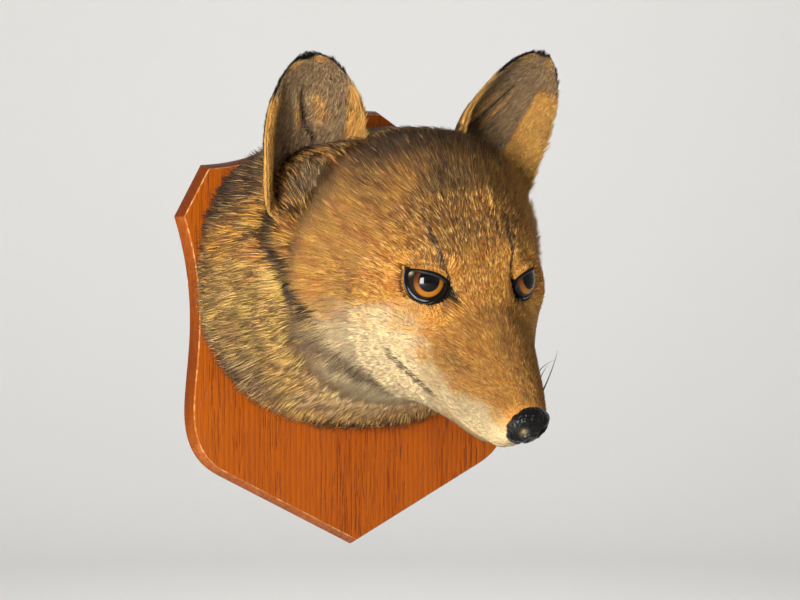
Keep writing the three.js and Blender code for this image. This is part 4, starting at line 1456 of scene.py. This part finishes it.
class FoxCoatSettings(PropertyGroup):
    """Hair colours and how thickly the coat grows."""

    gold: colour_setting("Gold", "Hair of crown and cheeks", (0.70, 0.325, 0.058))
    rust: colour_setting("Rust", "Hair of brow and muzzle", (0.56, 0.235, 0.034))
    cream: colour_setting("Cream", "Hair of lips, cheeks and throat", (0.86, 0.66, 0.36))
    straw: colour_setting("Straw", "Long hair of the ruff", (0.67, 0.40, 0.105))
    grey: colour_setting("Grey", "Grey-brown hair of throat and ears", (0.29, 0.182, 0.09))
    brown: colour_setting("Brown", "Dark guard hair of the nape", (0.13, 0.062, 0.022))
    black: colour_setting("Black", "Hair behind the ears and round the mouth", (0.010, 0.007, 0.005))
    bare: colour_setting("Bare skin", "Skin where hair is worn off", (0.085, 0.040, 0.022))
    thickness: FloatProperty(
        name="Thickness", description="Share of the full count of tufts",
        default=1.0, min=0.05, max=1.2, subtype="FACTOR",
    )
    seed: IntProperty(name="Seed", description="Starts the scatter of the tufts", default=7, min=0)

    def colours(self):
        return [tuple(getattr(self, name.lower())) for name in HAIR_COLOURS]


class FoxFinishSettings(PropertyGroup):
    """Finishes of shield, eyes and nose."""

    oak_light: colour_setting("Oak, light", "Pale growth bands", (0.385, 0.085, 0.004))
    oak_deep: colour_setting("Oak, deep", "Darker growth bands", (0.27, 0.050, 0.003))
    oak_pore: colour_setting("Oak, pores", "Open pores", (0.10, 0.016, 0.003))
    # Colour of the rubbed arris, and of the painted light on the shield's sides that face down and left.
    oak_worn_and_lit: colour_setting("Oak, worn", "Edge where the varnish is rubbed", (0.78, 0.46, 0.20))
    iris_painted_lit: colour_setting("Iris, bright", "Sunlit part of the iris", (0.44, 0.165, 0.008))
    iris_shade_and_fibre: colour_setting("Iris, deep", "Shaded part of the iris", (0.075, 0.014, 0.003))
    nose_black: colour_setting("Nose", "Leather of the nose", (0.006, 0.0055, 0.0055))
    shield_thickness: FloatProperty(
        name="Shield thickness", description="Thickness of the board",
        default=SHIELD["thick"] * MM, unit="LENGTH",
    )
    eye_radius: FloatProperty(
        name="Eye radius", description="Radius of a glass eye", default=EYE["radius"] * MM, unit="LENGTH"
    )


# ---- Hair lies ----


def body_lean(bed):
    """How far the hair turns from straight back along the body, towards larger angles round it."""
    theta = np.degrees(np.abs(bed.column))
    hand = np.sign(bed.column)
    out = 0.30 * smooth(bed.row, 0.42, 0.55) * fade(theta, 50, 85) * smooth(theta, 2, 22)
    down = 0.30 * smooth(bed.row, 0.25, 0.45) * fade(bed.row, 0.7, 0.85) * smooth(theta, 55, 85)
    down = down * fade(theta, 140, 165)
    up = 1.1 * near(bed.point, (54, -54, 12), (12, 12, 16))
    lean = hand * (out + down - up)
    for side in (1, -1):
        x, y, z, gap, _ = eye_place(bed.point, side)
        ahead = smooth(x, -4, 8) * fade(gap, 2, 14)
        turn = np.where(y > 0, -1.0, 1.0) * smooth(np.abs(y) + 1.0, 0, 3) * 0.7 * ahead
        turn = turn + np.where(y > 0, -0.25, 0.15) * fade(gap, 2, 9) * (1 - ahead)
        lean = lean + np.where(beside_eye(bed.point, z, side), side * turn, 0)
    return lean


def hard_by(bed):
    """1 beside the lids and the nose pad, where hair is short and close, and 0 away from them."""
    close = fade(nose_reach(bed), 1.0, 2.4)
    for side in (1, -1):
        _, _, z, apart, _ = eye_place(bed.point, side)
        close = np.maximum(close, np.where(beside_eye(bed.point, z, side), fade(apart, 1.2, 4.5), 0))
    return close


def nose_reach(bed):
    """1 on a ball as large as the nose pad, more outside it."""
    middle = np.array(NOSE["at"]) - np.array([0, NOSE["deep"] / 2, 0])
    size = np.array([NOSE["wide"] / 2, NOSE["deep"] / 2 + 1, NOSE["high"] / 2])
    return (((bed.point - middle) / size) ** 2).sum(-1)


def hair_length(bed):
    """How long the hair is, shorter beside lids and nose pad."""
    return section_value(bed.row, 1) * (1 - 0.5 * hard_by(bed))


COVER = (  # how many hairs lie over each other, at places along the body
    (-0.16, 1.5), (-0.05, 4), (0.1, 7), (0.35, 6.5), (0.5, 5.5),
    (0.6, 4.4), (0.7, 3.6), (0.8, 2.9), (0.9, 2.6),
)


def body_weight(bed):
    """How many tufts grow on each square millimetre, for one full cover."""
    length, width = hair_length(bed), section_value(bed.row, 2)
    cover = np.interp(bed.row, *zip(*COVER))
    density = cover / (length * width / 2)
    gap, here = mouth_gap(bed.point)
    density = density * (1 - here * smooth(bed.row, 0.55, 0.6) * np.exp(-((gap / 1.1) ** 4)))
    for side in (1, -1):
        _, y, z, apart, _ = eye_place(bed.point, side)
        margin = np.where(y > 0, 0.8, 0.4)
        inside = np.where(beside_eye(bed.point, z, side), smooth(apart - margin, 0.0, 0.3), 1)
        density = density * inside * (1 - 0.9 * tear_line(bed.point, side))
    return density * smooth(nose_reach(bed), 0.6, 0.8) * (1 + 0.8 * hard_by(bed))


def clear_of_eyes(blades):
    """Which blades keep off both eyes' openings."""
    keep = np.ones(len(blades["points"]), bool)
    point = off_head(blades["points"])
    for side in (1, -1):
        _, _, z, gap, local = eye_place(point, side)
        over = (z > 0) & (np.linalg.norm(local, axis=-1) < 20) & (gap < -0.1)
        keep &= ~over.any(axis=1)
    return keep


# Name, first and last place along, rings of a blade, slot, most blades, lock size, gather and mess.
BODY_COAT = (
    ("ruff", -0.17, 0.13, 2, "ruff_coat", 13500, 4.5, 0.34, 5),
    ("nape", 0.13, 0.36, 2, "ruff_coat", 15500, 3.6, 0.32, 5),
    ("crown", 0.36, 0.54, 1, "head_coat", 31000, 2.4, 0.30, 8),
    ("brow", 0.54, 0.66, 2, "head_coat", 14000, 1.6, 0.20, 7),
    ("face", 0.66, 0.75, 2, "head_coat", 19500, 1.5, 0.18, 7),
    ("muzzle", 0.75, 1.2, 1, "head_coat", 26000, 1.2, 0.18, 7),
)


# ---- Pieces ----


def closed_mesh(name, grid):
    """A mesh over a grid of rings, each end closed by a fan round the ring's middle."""
    made = made_mesh(name, tube_points(grid), tube_triangles(*grid.shape[:2]))
    outward(made)
    return made


def with_ends(values):
    """Values on a grid of rings, with an end ring's mean at each point that closes it."""
    flat = values.reshape(-1, values.shape[-1])
    return np.concatenate([flat, values[:1].mean(1), values[-1:].mean(1)])


def half_outline(steps):
    """The right half of the shield's outline, from its point up to its crest."""
    size = SHIELD

    def curve(*names, count=steps):
        return bezier([size[name] for name in names], np.linspace(0, 1, count + 1)[1:])

    return np.concatenate(
        [
            [(0, size["point"])],
            [size["turn"]],
            curve("turn", "turn_ease", "bulge_ease", "bulge"),
            curve("bulge", "waist_low", "waist_high", "corner", count=2 * steps),
            [size["shoulder"]],
            curve("shoulder", "scoop_ease", "scoop"),
            [(size["crest_half"], size["crest_top"])],
        ]
    )


def scene_settings():
    return bpy.context.scene.fox_coat, bpy.context.scene.fox_finish


class FOX_OT_finishes(Operator):
    """Makes the shader groups and the materials that every piece uses"""

    bl_idname = "fox.finishes"
    bl_label = "Finishes"

    def execute(self, context):
        coat, finish = scene_settings()
        coat_markings_group()
        coat_relief_group()
        wood_grain_group()
        wear_group()
        colours = coat.colours()
        coat_material("Skin and short hair", colours, strands=False, sheen=0.0, root=0.5, variety=0.3)
        coat_material("Long hair", colours, strands=True, sheen=0.04, root=0.66, variety=0.45)
        coat_material("Short hair", colours, strands=True, sheen=0.03, root=0.55, variety=0.85)
        oak_material(finish)
        leather_material(finish)
        eye_material(finish)
        lid_material()
        whisker_material()
        steel_material()
        return {"FINISHED"}


class FOX_OT_shield(Operator):
    """Builds the oak shield with its slanted edge and its two countersunk holes"""

    bl_idname = "fox.shield"
    bl_label = "Shield"

    def execute(self, context):
        size = SHIELD
        half = half_outline(16)
        outline = np.concatenate([half, (half[1:] * np.array([-1, 1]))[::-1]])
        bpy.ops.object.select_all(action="DESELECT")
        bpy.ops.mesh.primitive_circle_add(
            vertices=len(outline), radius=0.09, fill_type="NGON", location=(0, 0, 0)
        )
        board = context.active_object
        board.name = board.data.name = "board"
        for vertex, (x, z) in zip(board.data.vertices, outline):
            vertex.co = (x * MM, -size["back_edge"] * MM, z * MM)
        slant = size["thick"] - size["arris"] - size["back_edge"]
        bpy.ops.object.mode_set(mode="EDIT")
        bpy.ops.mesh.select_all(action="SELECT")
        bpy.ops.mesh.extrude_region_move(TRANSFORM_OT_translate={"value": (0, -0.2 * MM, 0)})
        bpy.ops.mesh.normals_make_consistent(inside=False)
        self.face_front(board)
        bpy.ops.mesh.inset(thickness=(size["bevel"] - size["arris"] / 3) * MM, depth=(slant - 0.2) * MM)
        bpy.ops.mesh.inset(thickness=size["arris"] * MM * 0.8, depth=size["arris"] * MM)
        bpy.ops.mesh.select_all(action="DESELECT")
        bpy.ops.object.mode_set(mode="OBJECT")
        back = max(board.data.polygons, key=lambda f: f.normal.y * f.area)
        back.select = True
        bpy.ops.object.mode_set(mode="EDIT")
        bpy.ops.mesh.inset(thickness=size["back_edge"] * MM, depth=size["back_edge"] * MM)
        bpy.ops.object.mode_set(mode="OBJECT")
        for height in SCREW["heights"]:
            self.drill(board, height)
        self.colour_edges(board)
        alone(board)
        bpy.ops.object.shade_smooth_by_angle(angle=math.radians(24))
        placed(board, bpy.data.materials["Varnished oak"], replaces=("shield",))
        return {"FINISHED"}

    def face_front(self, board):
        bpy.ops.mesh.select_all(action="DESELECT")
        bpy.ops.object.mode_set(mode="OBJECT")
        front = max(board.data.polygons, key=lambda f: -f.normal.y * f.area)
        front.select = True
        board.data.polygons.active = front.index
        bpy.ops.object.mode_set(mode="EDIT")
        bpy.ops.mesh.select_mode(type="FACE")

    def drill(self, board, height):
        """Cuts a hole with its countersink from the back."""
        head, shank, land, play = (SCREW[name] for name in ("head", "shank", "land", "play"))
        flare = land + head - shank
        profile = (
            (-2, head + play), (0.3 + land, head + play), (0.3 + flare, shank + play), (9, shank + play)
        )
        turn = np.linspace(0, 2 * math.pi, 49)[:-1]
        rings = [
            np.stack([r * np.cos(turn), -far + 0 * turn, height + r * np.sin(turn)], -1)
            for far, r in profile
        ]
        bit = closed_mesh("bit", np.array(rings))
        alone(board)
        cut = board.modifiers.new("hole", "BOOLEAN")
        cut.operation, cut.solver, cut.object = "DIFFERENCE", "EXACT", bit
        bpy.ops.object.modifier_apply(modifier=cut.name)
        bpy.data.objects.remove(bit)

    def colour_edges(self, board):
        """Marks the arris with painted light on the sides that face down and left, the sides darkened by
        painted shade, most where they face up, and the bare back.
        """
        mesh = board.data
        normal = read(mesh.polygons, "normal", 3)
        sizes = read(mesh.polygons, "loop_total", kind=np.int32)
        side = (np.abs(normal[:, 1]) < 0.45).astype(float)
        arris = ((normal[:, 1] < -0.45) & (normal[:, 1] > -0.93)).astype(float)
        back = (normal[:, 1] > 0.5).astype(float)
        # Painted shade: the sides are darker, most where they face up, away from the light.
        upper = side * np.clip(0.4 + normal[:, 2] * 1.4 - normal[:, 0] * 0.35, 0, 1)
        layer = mesh.color_attributes.new("edge", "FLOAT_COLOR", "CORNER")
        # worn is the rubbed arris plus painted light on the sides that face down and left.
        worn = np.clip(arris + 0.45 * side * np.clip(-normal[:, 2] - normal[:, 0] * 0.6, 0, 1), 0, 1)
        values = np.stack([worn, upper, back, np.ones_like(back)], -1)
        layer.data.foreach_set("color", np.repeat(values, sizes, 0).astype(np.float32).ravel())


class FOX_OT_screws(Operator):
    """Gives the two screws in the back their steel"""

    bl_idname = "fox.screws"
    bl_label = "Screws"

    def execute(self, context):
        for name in ("screw_upper", "screw_lower"):
            bpy.data.objects[name].material_slots[0].material = bpy.data.materials["Screw steel"]
        return {"FINISHED"}


class FOX_OT_skin(Operator):
    """Builds one skin over neck, head, jaw and ears, with lids, furrows and the closed mouth"""

    bl_idname = "fox.skin"
    bl_label = "Skin"

    def execute(self, context):
        skin = body_mesh()
        for side in (1, -1):
            joined(skin, ear_mesh(side))
        alone(skin)
        bpy.ops.object.shade_smooth()
        placed(
            skin, bpy.data.materials["Skin and short hair"],
            replaces=("neck", "head", "lower_jaw", "ear_right", "ear_left"),
        )
        return {"FINISHED"}


class FOX_OT_coat(Operator):
    """Grows the hair of ruff, nape, crown, face and muzzle"""

    bl_idname = "fox.coat"
    bl_label = "Coat"

    def execute(self, context):
        coat, _ = scene_settings()
        bed = body_bed()
        weight, lean = body_weight(bed), body_lean(bed)
        turn = np.degrees(bed.column)
        rise = np.maximum(coat_depth(bed.row, bed.column, bed.point) * 1.02 + 0.12, 0.5)
        rise = rise * (1 - 0.75 * crease_line(bed.row, np.abs(turn)))
        for index, area in enumerate(BODY_COAT):
            name, low, high, rings, slot, most, clump, gather, mess = area
            for side, part in ((-1, "left"), (1, "right")):
                mask = smooth(bed.row, low - 0.01, low + 0.01) * fade(bed.row, high - 0.01, high + 0.01)
                mask = mask * (turn * side > -0.1)
                rng = np.random.default_rng(coat.seed + 10 * index + side)
                count = int(min((weight * mask * bed.area()).sum(), most) * coat.thickness)
                blades = grow(
                    bed, rng, count=count, weight=weight * mask, length=hair_length(bed),
                    width=section_value(bed.row, 2), rise=rise, lean=lean, mess=mess, clump=clump,
                    gather=gather, rings=rings,
                )
                keep = clear_of_eyes(blades) if low > 0.3 else np.ones(count, bool)
                piece = fur_piece(f"{name}_{part}", blades, keep, rings)
                look = "Long hair" if slot == "ruff_coat" else "Short hair"
                placed(piece, bpy.data.materials[look])
        return {"FINISHED"}


class FOX_OT_ear_coat(Operator):
    """Grows the hair in and behind both ears"""

    bl_idname = "fox.ear_coat"
    bl_label = "Ear coat"

    def execute(self, context):
        coat, _ = scene_settings()
        for side, part in ((-1, "left"), (1, "right")):
            for behind, face in ((0, "inside"), (1, "back")):
                bed = ear_bed(side, behind)
                width = EAR_COAT["width"][behind] + 0 * bed.row
                if behind:
                    length = 6.5 - 3.0 * smooth(bed.row, 0.2, 0.95)
                    rise = 0.9 + 0 * bed.row
                else:
                    inner = smooth(-bed.column, 0.45, 0.95)
                    length = 5 + 4 * inner * fade(bed.row, 0.35, 0.8) - 2.4 * smooth(bed.row, 0.5, 0.95)
                    length = length - 1.5 * smooth(bed.column, 0.35, 0.6) * fade(bed.row, 0.6, 0.8)
                    rise = 0.7 + 0.6 * inner
                weight = EAR_COAT["cover"] / (length * width / 2)
                weight = weight * smooth(bed.row, bed.rows[0], bed.rows[0] + 0.05)
                count = int(min((weight * bed.area()).sum(), EAR_COAT["most"]) * coat.thickness)
                rng = np.random.default_rng(coat.seed + 100 + 2 * behind + side)
                blades = grow(
                    bed, rng, count=count, weight=weight, length=length, width=width, rise=rise,
                    lean=math.pi - 0.35 * bed.column, rings=1, mess=EAR_COAT["mess"],
                    clump=EAR_COAT["clump"], gather=EAR_COAT["gather"],
                )
                piece = fur_piece(f"ear_{part}_{face}", blades, np.ones(count, bool), 1)
                placed(piece, bpy.data.materials["Short hair"])
        return {"FINISHED"}


class FOX_OT_eyes(Operator):
    """Sets the two glass eyes and their lid rims"""

    bl_idname = "fox.eyes"
    bl_label = "Eyes"

    def execute(self, context):
        _, finish = scene_settings()
        for side, part in ((-1, "left"), (1, "right")):
            eye = self.ball(side, finish.eye_radius / MM - 0.05)
            eye.name = eye.data.name = f"glass_eye_{part}"
            placed(eye, bpy.data.materials["Eye glass"], replaces=(f"eye_{part}",))
            rim = self.rim(side)
            rim.name = rim.data.name = f"lids_{part}"
            placed(rim, bpy.data.materials["Lid rim"])
        return {"FINISHED"}

    def ball(self, side, radius):
        polar = np.linspace(0.01, math.pi - 0.01, 72)[:, None]
        turn = np.linspace(0, 2 * math.pi, 97)[None, :-1]
        swell = 1 + 0.03 * fade(polar, 0.35, 0.8)
        x, y = np.sin(polar) * np.cos(turn), np.sin(polar) * np.sin(turn)
        z = np.cos(polar) + 0 * turn
        point = out_of_eye(side, *(radius * swell * axis for axis in (x, y, z)))
        made = closed_mesh("eye", at_head(point))
        look = gaze(side)
        right = unit(np.array([look[1], -look[0], 0.0]))
        above = np.cross(right, look)
        local = point - eye_centre(side)
        seen_x = local @ right + side * 0.5
        seen_y = local @ above - 2.0
        corner = bell(x * radius + 8.3, 0.8) * bell(y * radius - 1.4, 1.1)
        sight = np.stack([0.5 + seen_x / SIGHT, 0.5 + seen_y / SIGHT, corner * (z > 0), 1 + 0 * x], -1)
        add_colours(made, "sight", with_ends(sight))
        add_uv(made, with_ends(np.stack([0.5 + x * 0.45, 0.5 + y * 0.45], -1)))
        return made

    def rim(self, side):
        turn = np.linspace(0, 2 * math.pi, 97)[:-1, None]
        narrow, broad = EYE["rim"]
        wide = narrow + (broad - narrow) * smooth(-np.sin(turn), 0.1, 0.7)
        half = lid_height(np.cos(turn), np.sin(turn) > 0)
        x = (EYE["wide"] / 2 - 0.3 * narrow) * np.cos(turn)
        y = (half + 0.15 - wide) * np.sin(turn) * np.abs(np.sin(turn)) ** EYE["pinch"] + EYE["raised"]
        level = EYE["radius"] + 0.34
        z = np.sqrt(level**2 - x * x - y * y)
        path = np.concatenate([x, y, z], -1)
        out = unit(path)
        ahead = unit(np.roll(path, -1, 0) - np.roll(path, 1, 0))
        away = np.cross(ahead, out)
        around = np.linspace(0, 2 * math.pi, 13)[None, :-1, None]
        rings = path[:, None] + away[:, None] * np.cos(around) * wide[:, None]
        rings = rings + out[:, None] * np.sin(around) * 0.5
        points = at_head(out_of_eye(side, *np.moveaxis(rings, -1, 0))).reshape(-1, 3)
        rows, columns = rings.shape[:2]
        faces = grid_faces(rows + 1, columns, True) % (rows * columns)
        made = made_mesh("lids", points, faces)
        outward(made)
        wet = smooth(-np.cos(around), 0.0, 0.8)
        crest = smooth(np.sin(around), 0.0, 0.6) * fade(np.cos(around), 0.6, 0.85)
        below = 0.12 + 0.88 * smooth(-np.sin(turn) - 0.15 * np.cos(turn), 0.0, 0.6)
        rim = np.stack(np.broadcast_arrays(wet[..., 0], crest[..., 0] * below, 0.0, 1.0), -1)
        add_colours(made, "rim", rim.reshape(-1, 4))
        return made


class FOX_OT_nose(Operator):
    """Builds the leather nose pad with its nostrils, slits and groove"""

    bl_idname = "fox.nose"
    bl_label = "Nose"

    def execute(self, context):
        polar = np.linspace(0.008, 0.992, 84)[:, None] * math.pi
        turn = np.linspace(0, 2 * math.pi, 121)[None, :-1]
        x, z = np.sin(polar) * np.cos(turn), np.sin(polar) * np.sin(turn)
        y = np.cos(polar) + 0 * turn
        broad = 1 + NOSE["spread"] * z
        spot = np.stack([x * broad * NOSE["wide"] / 2, y * NOSE["deep"] / 2, z * NOSE["high"] / 2], -1)
        out = unit(spot)
        push, plug = 0.0, 0.0
        for side in (1, -1):
            nostril = np.array(NOSE["nostril"]) * np.array([side, 1, 1])
            away = np.linalg.norm(spot - nostril, axis=-1)
            pit = NOSE["pit"] * bell(away, NOSE["bore"])
            if side < 0:
                plug = bell(away, 1.6)
                pit = pit * (1 - 0.55 * plug)
            run = np.array([side * 2.9, -3.6, -2.0])
            t = np.clip(((spot - nostril) @ run) / (run @ run), 0, 1)
            slit = np.linalg.norm(spot - nostril - t[..., None] * run, axis=-1)
            push = push - pit - 1.5 * bell(slit, 0.75) * (1 - 0.5 * t) * (t > 0.05)
            push = push + 0.5 * bell(away - 3.2, 1.0)
        fading = NOSE["groove_fade"]
        below = smooth(-spot[..., 2], -fading / 2, fading) * smooth(spot[..., 1], 0, fading)
        push = push - NOSE["groove"] * bell(spot[..., 0], NOSE["groove_wide"]) * below
        push = push + 0.30 * ripple(spot, 4.5, 21) + 0.14 * ripple(spot, 1.9, 22)
        spot = spot + out * push[..., None]
        lean = math.radians(NOSE["lean"])
        point = np.stack(
            [
                spot[..., 0],
                -NOSE["deep"] / 2 + spot[..., 1] * math.cos(lean) + spot[..., 2] * math.sin(lean),
                -spot[..., 1] * math.sin(lean) + spot[..., 2] * math.cos(lean),
            ],
            -1,
        ) + np.array(NOSE["at"])
        pad = closed_mesh("nose_pad", at_head(point))
        rim = smooth(np.hypot(spot[..., 0] / NOSE["wide"], spot[..., 2] / NOSE["high"]), 0.36, 0.52)
        worn = 0.8 * rim * smooth(-spot[..., 0] - 0.5 * spot[..., 2], 0, 8)
        values = np.stack([worn, plug + 0 * worn, 0 * worn, 1 + 0 * worn], -1)
        add_colours(pad, "worn", with_ends(values))
        add_uv(pad, with_ends(np.stack([0.5 + x * 0.45, 0.5 + z * 0.45], -1)))
        placed(pad, bpy.data.materials["Nose leather"], replaces=("nose",))
        return {"FINISHED"}


WHISKERS = (  # root, way, length, droop, thickness
    ((15.0, 45.5, -26.0), (0.43, -0.26, 0.87), 18, (-0.5, 0.1, 0.2), 0.8),
    ((19.3, 34.2, -25.4), (0.43, -0.25, 0.86), 9.5, (1.6, 0.3, -0.9), 0.5),
    ((14.8, 41.9, -22.7), (0.24, -0.36, 0.9), 7, (1.3, -0.1, -0.3), 0.5),
    ((-15.4, 39, -30.0), (-0.6, -0.75, -0.05), 20, (-0.3, -0.4, -0.5), 0.20),
    ((-15.2, 42, -32.5), (-0.5, -0.85, -0.2), 22, (-0.4, -0.3, -0.4), 0.20),
    ((-14.2, 46, -34.0), (-0.6, -0.8, -0.3), 17, (-0.3, -0.4, -0.3), 0.18),
)


class FOX_OT_whiskers(Operator):
    """Sets the few whiskers that are left"""

    bl_idname = "fox.whiskers"
    bl_label = "Whiskers"

    def execute(self, context):
        points, faces, strand = [], [], []
        steps, sides = 16, 6
        last = (steps - 1) * sides
        turn = np.linspace(0, 2 * math.pi, sides + 1)[:-1]
        for root, way, length, droop, thick in WHISKERS:
            t = np.linspace(0, 1, steps)[:, None]
            hang = np.array(droop) * (t * t) * length * 0.3
            path = at_head(np.array(root) + unit(np.array(way)) * (t * length - 1.0) + hang)
            ahead = unit(np.gradient(path, axis=0))
            side = unit(np.cross(ahead, (0, 0, 1)))
            up = np.cross(side, ahead)
            radius = (thick / 2) * (1 - 0.9 * t[:, 0])
            ring = side[:, None] * np.cos(turn)[None, :, None] + up[:, None] * np.sin(turn)[None, :, None]
            start = sum(len(p) for p in points)
            points.append((path[:, None] + ring * radius[:, None, None]).reshape(-1, 3))
            quads = grid_faces(steps, sides, True) + start
            faces += [quads[:, [0, 1, 2]], quads[:, [0, 2, 3]]]
            caps = [(0, k + 1, k) for k in range(1, sides - 1)]
            caps += [(last, last + k, last + k + 1) for k in range(1, sides - 1)]
            faces.append(np.array(caps) + start)
            strand.append(np.repeat(t, sides, 0) * np.array([[1, 1, 1, 0]]) + np.array([[0, 0, 0, 1]]))
        made = made_mesh("whiskers", np.concatenate(points), np.concatenate(faces))
        add_colours(made, "strand", np.concatenate(strand))
        outward(made)
        placed(made, bpy.data.materials["Whisker"])
        return {"FINISHED"}


class FOX_OT_stage(Operator):
    """Sets a pale round sweep, soft studio lights and the camera"""

    bl_idname = "fox.stage"
    bl_label = "Stage"

    def execute(self, context):
        scene = context.scene
        bpy.ops.object.select_all(action="DESELECT")
        flat, floor = SWEEP["radius"], SWEEP["floor"]
        bpy.ops.mesh.primitive_circle_add(
            vertices=128, radius=flat, fill_type="NGON", location=(0, 0, floor)
        )
        sweep = context.active_object
        sweep.name = "sweep"
        bpy.ops.object.mode_set(mode="EDIT")
        bpy.ops.mesh.select_mode(type="EDGE")
        bpy.ops.mesh.select_all(action="SELECT")
        bend = np.radians(np.linspace(0, 90, 10))
        radii = np.append(flat + SWEEP["bend"] * np.sin(bend), flat + SWEEP["bend"])
        heights = np.append(floor + SWEEP["bend"] * (1 - np.cos(bend)), SWEEP["top"])
        for k in range(1, len(radii)):
            grown = radii[k] / radii[k - 1]
            bpy.ops.mesh.extrude_edges_move(
                TRANSFORM_OT_translate={"value": (0, 0, heights[k] - heights[k - 1])}
            )
            bpy.ops.transform.resize(value=(grown, grown, 1), center_override=(0, 0, 0))
        bpy.ops.object.mode_set(mode="OBJECT")
        bpy.ops.object.shade_smooth()
        sweep.data.materials.append(plain_material("Pale sweep", (0.80, 0.79, 0.77)))
        for name, (place, aim, size, power) in LIGHTS.items():
            light = bpy.data.lights.new(name, "AREA")
            light.shape, light.energy = "RECTANGLE", power
            light.size, light.size_y = size
            lamp = bpy.data.objects.new(name, light)
            lamp.location = place
            lamp.rotation_euler = (Vector(aim) - Vector(place)).to_track_quat("-Z", "Y").to_euler()
            scene.collection.objects.link(lamp)
        world = bpy.data.worlds.new("Studio")
        world.use_nodes = True
        sky = world.node_tree.nodes["Background"].inputs
        sky["Color"].default_value = (0.93, 0.95, 1.0, 1.0)
        sky["Strength"].default_value = 0.32
        scene.world = world
        view = bpy.data.cameras.new("View")
        view.lens, view.sensor_width = CAMERA["lens"], 36
        view.clip_start = 0.05
        camera = bpy.data.objects.new("View", view)
        camera.location = [value * MM for value in CAMERA["at"]]
        camera.rotation_euler = (math.radians(90), 0, -math.radians(CAMERA["turn"]))
        scene.collection.objects.link(camera)
        scene.camera = camera
        scene.view_settings.view_transform = "Standard"
        return {"FINISHED"}


STEPS = (
    FOX_OT_finishes, FOX_OT_stage, FOX_OT_shield, FOX_OT_screws, FOX_OT_skin, FOX_OT_coat, FOX_OT_ear_coat,
    FOX_OT_eyes, FOX_OT_nose, FOX_OT_whiskers,
)


class FOX_PT_panel(Panel):
    """Lists the pieces of the mount"""

    bl_idname = "FOX_PT_panel"
    bl_label = "Fox Head Mount"
    bl_space_type = "VIEW_3D"
    bl_region_type = "UI"
    bl_category = "Fox Mount"

    def draw(self, context):
        for settings in scene_settings():
            box = self.layout.box()
            for name in settings.__annotations__:
                box.prop(settings, name)
        for step in STEPS:
            self.layout.operator(step.bl_idname)


CLASSES = (FoxCoatSettings, FoxFinishSettings, *STEPS, FOX_PT_panel)


def register():
    for kind in CLASSES:
        bpy.utils.register_class(kind)
    bpy.types.Scene.fox_coat = PointerProperty(type=FoxCoatSettings)
    bpy.types.Scene.fox_finish = PointerProperty(type=FoxFinishSettings)


def unregister():
    del bpy.types.Scene.fox_finish
    del bpy.types.Scene.fox_coat
    for kind in reversed(CLASSES):
        bpy.utils.unregister_class(kind)


def main():
    register()
    bpy.ops.fox.finishes()
    bpy.ops.fox.stage()
    bpy.ops.fox.shield()
    bpy.ops.fox.screws()
    bpy.ops.fox.skin()
    bpy.ops.fox.coat()
    bpy.ops.fox.ear_coat()
    bpy.ops.fox.eyes()
    bpy.ops.fox.nose()
    bpy.ops.fox.whiskers()


if __name__ == "__main__":
    main()
